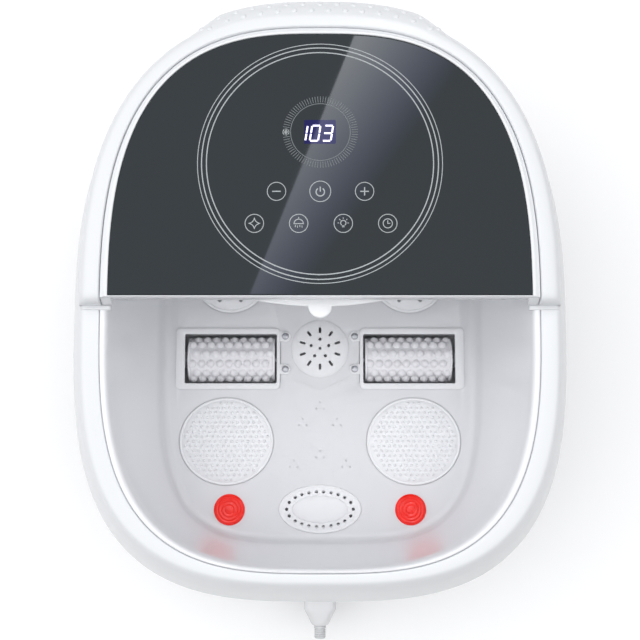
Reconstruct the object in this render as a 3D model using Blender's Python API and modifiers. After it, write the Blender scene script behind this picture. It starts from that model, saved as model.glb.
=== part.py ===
"""Foot spa basin: an oval tub in a flared casing, with a control cover over the toe end.

Metres, +Z up, front (heels, drain) at -Y and rear (controls) at +Y. The origin is on the ground,
under the middle of the bounding box. Run it with: blender --background --python part.py
"""

import math

import bmesh
import bpy
from mathutils import Matrix, Vector

# ---------------------------------------------------------------- driving dimensions
GAP = 0.0003                # clearance between pieces that touch

OUTLINE_POINTS = 40         # points round the casing and the tub
WIDEST_Y = 0.017            # every plan outline is widest on this line

RIM_Z = 0.200               # flat top of the front rim
FLOOR_Z = 0.050             # tub floor that the feet rest on
FLOOR_T = 0.0025            # tub wall and floor thickness
UNDERSIDE_Z = FLOOR_Z - FLOOR_T
BASE_Z = 0.0068             # underside of the base plate
BASE_T = 0.0025
CASING_T = 0.0028
HOLE_MARGIN = 0.0004        # clearance round the spout and the gland in the casing's wall

BASE_HALF_X, BASE_FRONT, BASE_REAR = 0.1545, -0.1645, 0.1995
PILLAR_R = 0.005            # pillars from the base plate that carry the tub's floor
PILLAR_PLACES = [(-0.098, -0.055), (0.098, -0.055), (-0.098, 0.095), (0.098, 0.095), (0.0, -0.085)]
BASE_SCREW_HOLE_R = 0.0022
BASE_SCREW_PLACES = [(-0.135, -0.045), (0.135, -0.045), (-0.138, 0.075), (0.138, 0.075)]
FOOT_R = 0.0125

SEAM_X = 0.1592             # half width of the seam between the rim and the tub's lip
SEAM_FRONT = -0.1723
REAR_N = 2.55               # roundness of the rear end, as a superellipse exponent
RIM_FRONT_N = 3.1           # roundness of the front end at the rim
FLOOR_FRONT_N = 4.0         # and at the floor, which is squarer
TUB_REAR_N = 2.6

COVER_TOP = 0.2165
COVER_FRONT_Y = 0.0215      # straight front edge of the control panel's tray
HOUSING_FRONT_Y = 0.0175    # front ends of the band round it
COVER_REAR_Y = 0.2223       # rear end of the casing's opening
PANEL_SEAM_X = 0.1570       # half width, rear end and roundness of the seam round the bezel
PANEL_SEAM_REAR = 0.2206
PANEL_SEAM_N = 2.73
PANEL_HALF_X = 0.1504       # and those of the dark panel inside it
PANEL_REAR = 0.2148
PANEL_N = 2.82
COVER_OUTER_X = 0.1734
COVER_OUTER_REAR = 0.236
HANDLE_REACH = 0.0076       # how far the rear grip stands out of the cover's outline
HANDLE_HALF = 0.070         # half length of the grip at its full reach
HANDLE_FADE = 0.098         # where the grip has run out
PANEL_T = 0.0025

ROLLER_Y = -0.0085
ROLLER_Z = 0.036
ROLLER_R = 0.020
ROLLER_IN = 0.0385          # inner and outer ends of each roller
ROLLER_OUT = 0.1125
WELL_IN = 0.0345            # inside of each roller well
WELL_OUT = 0.1195
WELL_HALF_Y = 0.0215
WELL_T = 0.002
SHAFT_R = 0.003

GEAR_TEETH = 20
PINION_TEETH = 10
GEAR_MODULE = 0.001
GEAR_X = 0.0288             # middle of the gear pair
GEAR_WIDTH = 0.004
PINION_DROP = 0.0115        # the pinion's axis lies this far below the roller shaft

STRAINER_R = 0.0245
SUMP_R = 0.0225
SUMP_Z = 0.042

DISC_X, DISC_Y, DISC_RX, DISC_RY = 0.079, -0.0785, 0.0395, 0.0365
TOE_X, TOE_Y, TOE_R = 0.0765, 0.063, 0.032
LAMP_X, LAMP_Y, LAMP_R = 0.0760, -0.1355, 0.0130
LAMP_BOARD_R, LAMP_BOARD_Z = 0.0108, 0.0412
DRAIN_Y, DRAIN_RX, DRAIN_RY = -0.135, 0.0345, 0.0200
DRAIN_Z = 0.030             # axis of the drain outlet

SHOWER_Y, SHOWER_Z, SHOWER_R = 0.036, 0.187, 0.008
SHOWER_HALF = 0.108
SHOWER_WALL = 0.0018
BRACKET_X = 0.098
LIP_HALF_X = 0.047          # half width of the spray bar's crescent lip
TAB_Y, TAB_R = 0.0185, 0.0087
NOZZLE_FIRST, NOZZLE_PITCH, NOZZLE_R = 0.022, 0.020, 0.0010

KEY_PLACES = [(-0.0315, 0.098), (0.0, 0.098), (0.0315, 0.098),
              (-0.0475, 0.0745), (-0.0158, 0.0745), (0.0158, 0.0745), (0.0475, 0.0745)]
KEY_PAD_R = 0.0055
BOARD_T = 0.0016            # every circuit board
TOUCH_BOARD_Z = 0.2056

PUMP_X, PUMP_Y, PUMP_Z = 0.018, 0.195, 0.050
HEATER_Y, HEATER_Z = 0.120, 0.026
HEATER_HALF, HEATER_R, HEATER_SPIGOT_R = 0.047, 0.0110, 0.0045
HOSE_R, FEED_HOSE_R, DRAIN_TUBE_R = 0.0050, 0.0045, 0.0048
MAINS_BOARD_Z = 0.0160
FOOT_PLACES = {
    "front_left": (-0.100, -0.095),
    "front_right": (0.100, -0.095),
    "rear_left": (-0.105, 0.125),
    "rear_right": (0.105, 0.125),
}


# ---------------------------------------------------------------- scene and materials
for old in list(bpy.data.objects):
    bpy.data.objects.remove(old)

basin = bpy.data.collections.new("foot_spa_basin")
cutters = bpy.data.collections.new("cutters")
for group in (basin, cutters):
    bpy.context.scene.collection.children.link(group)

FINISHES = {  # base colour, roughness, metallic
    "white_gloss": ((0.90, 0.91, 0.93), 0.22, 0.0),
    "tub_white": ((0.84, 0.85, 0.88), 0.28, 0.0),
    "panel_dark": ((0.045, 0.054, 0.060), 0.08, 0.0),
    "white_fittings": ((0.88, 0.89, 0.91), 0.35, 0.0),
    "lamp_red": ((0.80, 0.02, 0.01), 0.12, 0.0),
    "rubber_dark": ((0.04, 0.04, 0.045), 0.75, 0.0),
    "steel": ((0.62, 0.63, 0.65), 0.30, 1.0),
    "board_green": ((0.03, 0.16, 0.08), 0.50, 0.0),
    "hose_clear": ((0.75, 0.78, 0.80), 0.30, 0.0),
    "grey_plastic": ((0.30, 0.31, 0.33), 0.50, 0.0),
    "brass": ((0.70, 0.52, 0.22), 0.30, 1.0),
}


def finish(name):
    """The Principled material of this name, made the first time it is asked for."""
    found = bpy.data.materials.get(name)
    if found:
        return found
    colour, roughness, metallic = FINISHES[name]
    made = bpy.data.materials.new(name)
    made.use_nodes = True
    shader = made.node_tree.nodes["Principled BSDF"]
    shader.inputs["Base Color"].default_value = (*colour, 1.0)
    shader.inputs["Roughness"].default_value = roughness
    shader.inputs["Metallic"].default_value = metallic
    return made


# ---------------------------------------------------------------- modelling helpers
def add_object(name, data, material, cutter=False):
    """Links an object for this mesh or curve, as a part or as a cutter."""
    obj = bpy.data.objects.new(name, data)
    if cutter:
        cutters.objects.link(obj)
        obj.hide_render = True
        obj.display_type = "WIRE"
    else:
        basin.objects.link(obj)
        data.materials.append(finish(material))
    return obj


def from_bmesh(name, bm, material, cutter=False, smooth=30):
    """An object from this bmesh, facing out, shaded smooth below an angle in degrees."""
    bmesh.ops.recalc_face_normals(bm, faces=bm.faces)
    mesh = bpy.data.meshes.new(name)
    bm.to_mesh(mesh)
    bm.free()
    mesh.shade_smooth()
    mesh.set_sharp_from_angle(angle=math.radians(smooth))
    return add_object(name, mesh, material, cutter)


def loft(name, rings, material, ring_of_rings=False, cutter=False, smooth=30):
    """A solid skin over closed rings of equal length. It is capped, or joined last ring to first."""
    bm = bmesh.new()
    rows = [[bm.verts.new(p) for p in ring] for ring in rings]
    pairs = list(zip(rows, rows[1:]))
    if ring_of_rings:
        pairs.append((rows[-1], rows[0]))
    for low, high in pairs:
        for i in range(len(low)):
            j = (i + 1) % len(low)
            bm.faces.new((low[i], low[j], high[j], high[i]))
    if not ring_of_rings:
        bm.faces.new(rows[0])
        bm.faces.new(rows[-1])
    return from_bmesh(name, bm, material, cutter, smooth)


def box(name, low, high, material=None, cutter=False):
    """A box between two corners."""
    bm = bmesh.new()
    size = Vector(high) - Vector(low)
    centre = (Vector(high) + Vector(low)) / 2
    bmesh.ops.create_cube(bm, size=1.0, matrix=Matrix.Translation(centre) @ Matrix.Diagonal((*size, 1)))
    return from_bmesh(name, bm, material, cutter)


AXIS_TURN = {
    "Z": Matrix.Identity(4),
    "X": Matrix.Rotation(math.radians(90), 4, "Y"),
    "Y": Matrix.Rotation(math.radians(-90), 4, "X"),
}


def cylinder(name, radius, length, centre, axis="Z", material=None, cutter=False, sides=14):
    """A plain cylinder along a row axis, with its origin at its centre."""
    bm = bmesh.new()
    bmesh.ops.create_cone(bm, cap_ends=True, segments=sides, radius1=radius, radius2=radius, depth=length)
    bmesh.ops.transform(bm, matrix=AXIS_TURN[axis], verts=bm.verts)
    obj = from_bmesh(name, bm, material, cutter)
    obj.location = centre
    return obj


def turned(name, profile, centre, material, axis="Z", steps=32, closed=False):
    """A profile of (radius, height) points, run top to bottom, turned round its own axis by a Screw."""
    mesh = bpy.data.meshes.new(name)
    edges = [(i, i + 1) for i in range(len(profile) - 1)]
    if closed:
        edges.append((len(profile) - 1, 0))
    mesh.from_pydata([(r, 0.0, z) for r, z in profile], edges, [])
    obj = add_object(name, mesh, material)
    turn = obj.modifiers.new("turn", "SCREW")
    turn.axis = "Z"
    turn.steps = turn.render_steps = steps
    turn.use_merge_vertices = True
    turn.merge_threshold = 0.00001
    turn.use_smooth_shade = True
    obj.matrix_world = Matrix.Translation(centre) @ AXIS_TURN[axis]
    return obj


def flat_outline(name, loops, thickness, centre, axis, material):
    """Closed loops of (x, y) points filled and given a thickness; the second loop is a hole."""
    curve = bpy.data.curves.new(name, "CURVE")
    curve.dimensions = "2D"
    curve.fill_mode = "BOTH"
    curve.extrude = thickness / 2
    for loop in loops:
        spline = curve.splines.new("POLY")
        spline.points.add(len(loop) - 1)
        spline.use_cyclic_u = True
        for point, (x, y) in zip(spline.points, loop):
            point.co = (x, y, 0.0, 1.0)
    obj = add_object(name, curve, material)
    obj.matrix_world = Matrix.Translation(centre) @ AXIS_TURN[axis]
    return obj


def smooth_route(points, count):
    """Points read at even steps from a smooth curve (Catmull-Rom) through the route's own points."""
    ends = [2 * Vector(points[0]) - Vector(points[1])]
    ends += [Vector(p) for p in points]
    ends.append(2 * Vector(points[-1]) - Vector(points[-2]))
    spans = len(points) - 1
    made = []
    for k in range(count):
        place = spans * k / (count - 1)
        i = min(int(place), spans - 1)
        t = place - i
        p0, p1, p2, p3 = ends[i:i + 4]
        made.append(0.5 * (2 * p1 + (p2 - p0) * t + (2 * p0 - 5 * p1 + 4 * p2 - p3) * t ** 2
                           + (3 * p1 - p0 - 3 * p2 + p3) * t ** 3))
    return made


def hose(name, points, radius, material, count=16):
    """A hose along a smooth route, with filled ends."""
    curve = bpy.data.curves.new(name, "CURVE")
    curve.dimensions = "3D"
    curve.bevel_depth = radius
    curve.bevel_resolution = 2
    curve.use_fill_caps = True
    spline = curve.splines.new("POLY")
    route = smooth_route(points, count)
    spline.points.add(len(route) - 1)
    for point, place in zip(spline.points, route):
        point.co = (*place, 1.0)
    return add_object(name, curve, material)


def boolean(obj, other, operation="DIFFERENCE"):
    """Cuts other out of obj, or joins it on."""
    step = obj.modifiers.new(operation.lower(), "BOOLEAN")
    step.operation = operation
    step.solver = "EXACT"
    step.object = other


def arc(cx, cy, radius, start, end, count):
    """Points on an arc, angles in degrees."""
    angles = [math.radians(start + (end - start) * k / (count - 1)) for k in range(count)]
    return [(cx + radius * math.cos(a), cy + radius * math.sin(a)) for a in angles]


# ---------------------------------------------------------------- plan outlines
def signed_power(value, power):
    return math.copysign(abs(value) ** power, value)


def outline(half_x, front, rear, z, front_n=RIM_FRONT_N, rear_n=REAR_N, count=OUTLINE_POINTS):
    """An egg outline: two half superellipses that meet, at their widest, on WIDEST_Y."""
    points = []
    for k in range(count):
        a = 2 * math.pi * k / count
        behind = math.sin(a) >= 0
        n = rear_n if behind else front_n
        depth = rear - WIDEST_Y if behind else WIDEST_Y - front
        x = half_x * signed_power(math.cos(a), 2 / n)
        y = WIDEST_Y + depth * signed_power(math.sin(a), 2 / n)
        points.append((x, y, z))
    return points


def ellipse(cx, cy, rx, ry, z, n=2.0, count=32):
    """A superellipse round a centre, at one height."""
    angles = [2 * math.pi * k / count for k in range(count)]
    return [(cx + rx * signed_power(math.cos(a), 2 / n), cy + ry * signed_power(math.sin(a), 2 / n), z)
            for a in angles]


def grip_bulge(x):
    """How far the rear grip stands out at this distance from the middle."""
    share = (HANDLE_FADE - abs(x)) / (HANDLE_FADE - HANDLE_HALF)
    share = max(0.0, min(1.0, share))
    return HANDLE_REACH * share * share * (3 - 2 * share)


def cover_arc(half_x, rear, start_y, count, bulge=0.0, n=REAR_N):
    """The rear half of an outline, right to left, from start_y round the rear and back."""
    depth = rear - WIDEST_Y
    first = math.asin(((start_y - WIDEST_Y) / depth) ** (n / 2))
    points = []
    for k in range(count):
        a = first + (math.pi - 2 * first) * k / (count - 1)
        x = half_x * signed_power(math.cos(a), 2 / n)
        y = WIDEST_Y + depth * math.sin(a) ** (2 / n)
        points.append((x, y + bulge * grip_bulge(x)))
    return points


# ---------------------------------------------------------------- casing and base
CASING_SECTIONS = [  # height, half width, front, rear of the outer skin
    (0.0065, 0.1580, -0.1680, 0.2030),
    (0.0280, 0.1765, -0.1870, 0.2220),
    (0.0600, 0.1875, -0.1980, 0.2340),
    (0.1000, 0.1910, -0.2010, 0.2382),
    (0.1450, 0.1885, -0.1985, 0.2382),
    (0.1800, 0.1810, -0.1890, 0.2365),
    (0.1960, 0.1745, -0.1822, 0.2352),
    (RIM_Z, 0.1712, -0.1787, 0.2335),
]
RIM_T = 0.0035              # thickness of the rim's flat band
SPOUT_HALF_X, SPOUT_HALF_Z = 0.0136, 0.0105
GLAND_X, GLAND_Z = -0.050, 0.062
GLAND_R = 0.007


def make_casing():
    """The outer shell: a flared, bellied wall that turns in at the top as a flat rim band."""
    rings = [outline(x, front, rear, z) for z, x, front, rear in CASING_SECTIONS]
    rings.append(outline(SEAM_X, SEAM_FRONT, COVER_REAR_Y, RIM_Z))
    rings.append(outline(SEAM_X, SEAM_FRONT, COVER_REAR_Y, RIM_Z - RIM_T))
    for z, x, front, rear in reversed(CASING_SECTIONS[:-1]):
        rings.append(outline(x - CASING_T, front + CASING_T, rear - CASING_T, z))
    casing = loft("outer_casing", rings, "white_gloss", ring_of_rings=True)
    half_x, half_z = SPOUT_HALF_X + HOLE_MARGIN, SPOUT_HALF_Z + HOLE_MARGIN
    spout_hole = box("spout_hole", (-half_x, -0.24, DRAIN_Z - half_z), (half_x, -0.16, DRAIN_Z + half_z),
                     cutter=True)
    boolean(casing, spout_hole)
    gland_hole = cylinder("gland_hole", GLAND_R + HOLE_MARGIN, 0.04, (GLAND_X, 0.232, GLAND_Z), "Y",
                          cutter=True)
    boolean(casing, gland_hole)


def make_base():
    """The bottom plate, with pillars that carry the tub's floor, its screws and the rubber feet."""
    rings = [outline(BASE_HALF_X, BASE_FRONT, BASE_REAR, z) for z in (BASE_Z, BASE_Z + BASE_T)]
    plate = loft("base_plate", rings, "grey_plastic")
    for k, (x, y) in enumerate(PILLAR_PLACES):
        top = UNDERSIDE_Z - GAP
        low = BASE_Z + 0.001
        pillar = cylinder(f"pillar_{k}", PILLAR_R, top - low, (x, y, (top + low) / 2), cutter=True, sides=8)
        boolean(plate, pillar, "UNION")
    for k, (x, y) in enumerate(BASE_SCREW_PLACES):
        hole = cylinder(f"screw_hole_{k}", BASE_SCREW_HOLE_R, 0.02, (x, y, BASE_Z), cutter=True, sides=8)
        boolean(plate, hole)
        head_top = BASE_Z - GAP
        profile = [(0, 0.0070), (0.0018, 0.0070), (0.0018, 0), (0.0036, 0), (0.0036, -0.0012),
                   (0.0028, -0.0020), (0, -0.0020)]
        turned(f"base_screw_{k + 1}", profile, (x, y, head_top), "steel", steps=10)
    for place, (x, y) in FOOT_PLACES.items():
        top = BASE_Z - GAP
        profile = [(0, top), (FOOT_R, top), (FOOT_R, 0.0020), (FOOT_R - 0.001, 0.0), (0, 0.0)]
        turned(f"rubber_foot_{place}", profile, (x, y, 0), "rubber_dark", steps=16)


# ---------------------------------------------------------------- tub
TUB_INSIDE = [  # height, half width, front, rear, front roundness, from the floor up to the lip
    (FLOOR_Z, 0.1275, -0.1560, 0.1460, FLOOR_FRONT_N),
    (0.0520, 0.1325, -0.1605, 0.1492, FLOOR_FRONT_N),
    (0.0600, 0.1358, -0.1628, 0.1515, 3.9),
    (0.1200, 0.1435, -0.1657, 0.1546, 3.5),
    (0.1850, 0.1518, -0.1678, 0.1575, RIM_FRONT_N),
    (0.1970, 0.1540, -0.1690, 0.1588, RIM_FRONT_N),
]
LIP_TOP = RIM_Z + 0.0003
FLANGE_Z = RIM_Z - RIM_T - GAP   # top of the flange that hooks under the casing's rim


def tub_ring(section, z=None, grow=0.0):
    """One ring of the tub, moved out by the wall's thickness for its outer skin."""
    own_z, half_x, front, rear, front_n = section
    return outline(half_x + grow, front - grow, rear + grow, own_z if z is None else z, front_n, TUB_REAR_N)


def tub_rings():
    """The bowl's skin: underside, outer wall, hook flange, lip, then down the inside to the floor."""
    below = [0.0490, 0.0585, 0.1200, 0.1850]
    rings = [tub_ring(TUB_INSIDE[0], UNDERSIDE_Z, -0.0004)]
    for section, z in zip(TUB_INSIDE[1:5], below):
        rings.append(tub_ring(section, z, FLOOR_T))
    lip_x, lip_front, lip_rear = SEAM_X - 0.0006, SEAM_FRONT + 0.0006, 0.1628
    hook = 0.0062
    for z, out in [(FLANGE_Z - FLOOR_T, -0.0025), (FLANGE_Z - FLOOR_T, hook), (FLANGE_Z, hook),
                   (FLANGE_Z, 0.0), (LIP_TOP, -0.0006)]:
        grow_front = min(out, 0.0042)
        rings.append(outline(lip_x + out, lip_front - grow_front, lip_rear + out, z, RIM_FRONT_N,
                             TUB_REAR_N))
    rings.append(outline(0.1558, -0.1702, 0.1602, LIP_TOP, RIM_FRONT_N, TUB_REAR_N))
    rings += [tub_ring(section) for section in reversed(TUB_INSIDE)]
    return rings


def well_box(name, side, grow_x, grow_y, bottom, top):
    """A cutter or filler for one roller well; side is -1 for the left and 1 for the right."""
    inner, outer = WELL_IN - grow_x, WELL_OUT + grow_x
    low_x, high_x = sorted((side * inner, side * outer))
    half_y = WELL_HALF_Y + grow_y
    return box(name, (low_x, ROLLER_Y - half_y, bottom), (high_x, ROLLER_Y + half_y, top), cutter=True)


def make_tub():
    """The bowl the water stands in, with two roller wells, two sumps and the holes for its fittings."""
    tub = loft("inner_tub", tub_rings(), "tub_white")
    inside_floor = FLOOR_Z - 0.001
    above = FLOOR_Z + 0.010
    well_bottom = ROLLER_Z - ROLLER_R - 0.0015
    drain_wall = [ellipse(0, DRAIN_Y, 0.0315, 0.0165, z, count=20) for z in (0.0405, inside_floor)]
    drain_hollow = [ellipse(0, DRAIN_Y, 0.0295, 0.0145, z, count=20) for z in (0.0425, above)]
    fillers = [
        well_box("well_left_wall", -1, WELL_T, WELL_T, well_bottom - WELL_T, inside_floor),
        well_box("well_right_wall", 1, WELL_T, WELL_T, well_bottom - WELL_T, inside_floor),
        cylinder("intake_sump_wall", STRAINER_R, 0.009, (0, 0, 0.0445), cutter=True, sides=20),
        cylinder("intake_spigot", 0.0040, 0.009, (0, 0.0175, 0.0365), cutter=True, sides=10),
        loft("drain_sump_wall", drain_wall, None, cutter=True),
        cylinder("drain_spigot", 0.0055, 0.004, (0, DRAIN_Y - 0.004, 0.0396), cutter=True, sides=10),
    ]
    for filler in fillers:
        boolean(tub, filler, "UNION")
    hollows = [
        well_box("well_left_hollow", -1, 0, 0, well_bottom, above),
        well_box("well_right_hollow", 1, 0, 0, well_bottom, above),
        cylinder("intake_sump_hollow", SUMP_R, 0.020, (0, 0, SUMP_Z + 0.010), cutter=True, sides=20),
        cylinder("intake_bore", 0.0026, 0.030, (0, 0.0175, 0.040), cutter=True, sides=8),
        loft("drain_sump_hollow", drain_hollow, None, cutter=True),
        cylinder("drain_bore", 0.0038, 0.030, (0, DRAIN_Y - 0.004, 0.040), cutter=True, sides=8),
        cylinder("feed_hole", 0.0060, 0.030, (0.040, 0.155, 0.178), "Y", cutter=True, sides=10),
    ]
    hollows += [cylinder(f"shaft_hole_{side}", 0.0058, 0.006, (side * (WELL_IN - 0.001), ROLLER_Y, ROLLER_Z),
                         "X", cutter=True, sides=12) for side in (-1, 1)]
    hollows += [cylinder(f"lamp_hole_{side}", LAMP_R - 0.0015, 0.020, (side * LAMP_X, LAMP_Y, FLOOR_Z),
                         cutter=True) for side in (-1, 1)]
    for k, (x, y) in enumerate(FRAME_SCREWS):
        hole = cylinder(f"frame_screw_hole_{k}", FRAME_SCREW_HOLE_R, 0.020, (x, y, FLOOR_Z), cutter=True,
                        sides=6)
        hollows.append(hole)
    for hollow in hollows:
        boolean(tub, hollow)


# ---------------------------------------------------------------- rollers and their drive
FRAME_SCREWS = [(side * 0.0295, y) for side in (-1, 1) for y in (0.0105, -0.0175)]
FRAME_SCREW_HOLE_R = 0.0018
FRAME_T = 0.0020
EAR_R = 0.0045


def lobed(radius, depth, lobes, points_each=6):
    """A round outline with soft lobes, as (x, y) points."""
    count = lobes * points_each
    points = []
    for k in range(count):
        a = 2 * math.pi * k / count
        r = radius - depth * (0.5 - 0.5 * math.cos(lobes * a))
        points.append((r * math.cos(a), r * math.sin(a)))
    return points


def toothed(teeth, module, turn):
    """A gear outline: straight-flanked teeth, thinned for backlash. turn puts a tooth at that angle."""
    outer = module * (teeth / 2 + 0.80)
    root = module * (teeth / 2 - 1.15)
    pitch = 2 * math.pi / teeth
    points = []
    for k in range(teeth):
        middle = turn + k * pitch
        for radius, share in ((root, -0.27), (outer, -0.115), (outer, 0.115), (root, 0.27)):
            a = middle + share * pitch
            points.append((radius * math.cos(a), radius * math.sin(a)))
    return points


def circle_loop(radius, count=14):
    return [(radius * math.cos(2 * math.pi * k / count), radius * math.sin(2 * math.pi * k / count))
            for k in range(count)]


def make_rollers():
    """Two lobed rollers and a drive gear on one shaft that crosses under the strainer."""
    for side, label in ((-1, "left"), (1, "right")):
        middle = side * (ROLLER_IN + ROLLER_OUT) / 2
        loops = [lobed(ROLLER_R, 0.0035, 12, points_each=4), circle_loop(SHAFT_R + GAP, 16)]
        flat_outline(f"massage_roller_{label}", loops, ROLLER_OUT - ROLLER_IN,
                     (middle, ROLLER_Y, ROLLER_Z), "X", "white_fittings")
        seal_profile = [(0.0095, 0.0015), (0.0095, 0.0), (0.0055, 0.0), (0.0055, -0.0020),
                        (SHAFT_R + GAP, -0.0020), (SHAFT_R + GAP, 0.0015)]
        seal = turned(f"shaft_seal_{label}", seal_profile, (side * (WELL_IN + GAP), ROLLER_Y, ROLLER_Z),
                      "rubber_dark", "X", steps=12, closed=True)
        if side < 0:
            seal.matrix_world = seal.matrix_world @ Matrix.Rotation(math.pi, 4, "X")
        make_roller_frame(side, label)
    cylinder("roller_shaft", SHAFT_R, 2 * 0.1175, (0, ROLLER_Y, ROLLER_Z), "X", "steel")


def make_roller_frame(side, label):
    """The frame that holds a roller in its well: a window, two screw ears and a bearing lug."""
    low = FLOOR_Z + GAP
    inner, outer = WELL_IN - 0.0005, 0.1225
    low_x, high_x = sorted((side * inner, side * outer))
    half_y = WELL_HALF_Y + 0.0045
    frame = box(f"roller_frame_{label}", (low_x, ROLLER_Y - half_y, low),
                (high_x, ROLLER_Y + half_y, low + FRAME_T), "white_fittings")
    for k, (x, y) in enumerate(FRAME_SCREWS):
        if x * side > 0:
            ear = cylinder(f"ear_{k}", EAR_R, FRAME_T - 0.0002, (x, y, low + FRAME_T / 2), cutter=True)
            boolean(frame, ear, "UNION")
            neck_x = sorted((x, side * (inner + 0.002)))
            neck = box(f"ear_neck_{k}", (neck_x[0], y - EAR_R + 0.0003, low + 0.0002),
                       (neck_x[1], y + EAR_R - 0.0003, low + FRAME_T - 0.0002), cutter=True)
            boolean(frame, neck, "UNION")
    lug_x = sorted((side * 0.1150, side * 0.1180))
    lug = box(f"lug_{label}", (lug_x[0], ROLLER_Y - 0.0065, ROLLER_Z - 0.0060),
              (lug_x[1], ROLLER_Y + 0.0065, low + 0.001), cutter=True)
    boolean(frame, lug, "UNION")
    window_x = sorted((side * 0.0368, side * 0.1150))
    window = box(f"window_{label}", (window_x[0], ROLLER_Y - WELL_HALF_Y + 0.0005, low - 0.004),
                 (window_x[1], ROLLER_Y + WELL_HALF_Y - 0.0005, low + 0.010), cutter=True)
    boolean(frame, window)
    bearing = cylinder(f"bearing_{label}", SHAFT_R + GAP, 0.008, (side * 0.1165, ROLLER_Y, ROLLER_Z), "X",
                       cutter=True)
    boolean(frame, bearing)
    for k, (x, y) in enumerate(FRAME_SCREWS):
        if x * side > 0:
            hole = cylinder(f"ear_hole_{k}", FRAME_SCREW_HOLE_R, 0.012, (x, y, low), cutter=True, sides=12)
            boolean(frame, hole)
            head = low + FRAME_T + GAP
            profile = [(0, 0.0016), (0.0026, 0.0012), (0.0030, 0), (0.0014, 0), (0.0014, -0.0065),
                       (0, -0.0065)]
            turned(f"frame_screw_{k + 1}", profile, (x, y, head), "steel", steps=10)


def make_gears():
    """The gear on the roller shaft, and the motor that turns it through a smaller pinion."""
    distance = GEAR_MODULE * (GEAR_TEETH + PINION_TEETH) / 2
    reach = math.sqrt(distance ** 2 - PINION_DROP ** 2)
    pinion_y, pinion_z = ROLLER_Y + reach, ROLLER_Z - PINION_DROP
    # A part turned to the X axis has its own x pointing down and its own y pointing to the rear.
    towards_pinion = math.atan2(reach, PINION_DROP)
    towards_gear = towards_pinion + math.pi
    gear_loops = [toothed(GEAR_TEETH, GEAR_MODULE, towards_pinion), circle_loop(SHAFT_R + GAP)]
    flat_outline("drive_gear", gear_loops, GEAR_WIDTH, (GEAR_X, ROLLER_Y, ROLLER_Z), "X",
                 "white_fittings")
    half_pitch = math.pi / PINION_TEETH
    bore = 0.0016
    pinion_loops = [toothed(PINION_TEETH, GEAR_MODULE, towards_gear + half_pitch), circle_loop(bore, 12)]
    flat_outline("motor_pinion", pinion_loops, GEAR_WIDTH + 0.001, (GEAR_X, pinion_y, pinion_z), "X",
                 "brass")
    motor_out = GEAR_X - GEAR_WIDTH / 2 - 0.0010
    motor_length = 0.030
    shaft_length = 0.016
    cylinder("motor_shaft", bore - GAP, shaft_length, (motor_out - 0.002, pinion_y, pinion_z), "X", "steel",
             sides=12)
    profile = [(bore, 0.0), (0.0060, 0.0), (0.0060, -0.0015), (0.0105, -0.0015), (0.0105, -motor_length),
               (0.0040, -motor_length), (0.0040, -motor_length - 0.002), (bore, -motor_length - 0.002)]
    turned("roller_motor", profile, (motor_out, pinion_y, pinion_z), "grey_plastic", "X", steps=14,
           closed=True)


# ---------------------------------------------------------------- fittings on the floor
def make_strainer():
    """The round perforated cap over the pump's intake sump, which lifts out."""
    low = FLOOR_Z + GAP
    skirt = 0.0200
    profile = [(0, low + 0.0045), (0.018, low + 0.0032), (STRAINER_R, low + 0.0006), (STRAINER_R, low),
               (skirt + 0.0015, low), (skirt + 0.0015, low - 0.0050), (skirt, low - 0.0050),
               (skirt, low + 0.0008), (0, low + 0.0025)]
    cap = turned("strainer_cap", profile, (0, 0, 0), "white_fittings", steps=20)
    inner_ring, outer_ring = 5, 8
    middle = cylinder("strainer_hole", 0.0013, 0.02, (0, 0, FLOOR_Z), cutter=True, sides=6)
    boolean(cap, middle)
    for k in range(inner_ring):
        a = 2 * math.pi * (k + 0.5) / inner_ring
        place = (0.0075 * math.cos(a), 0.0075 * math.sin(a), FLOOR_Z)
        boolean(cap, cylinder(f"strainer_hole_{k}", 0.0014, 0.02, place, cutter=True, sides=6))
    for k in range(outer_ring):
        slot = box(f"strainer_slot_{k}", (0.0125, -0.0013, -0.010), (0.0180, 0.0013, 0.010), cutter=True)
        slot.rotation_euler.z = 2 * math.pi * (k + 0.5) / outer_ring
        slot.location.z = FLOOR_Z
        boolean(cap, slot)


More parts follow.
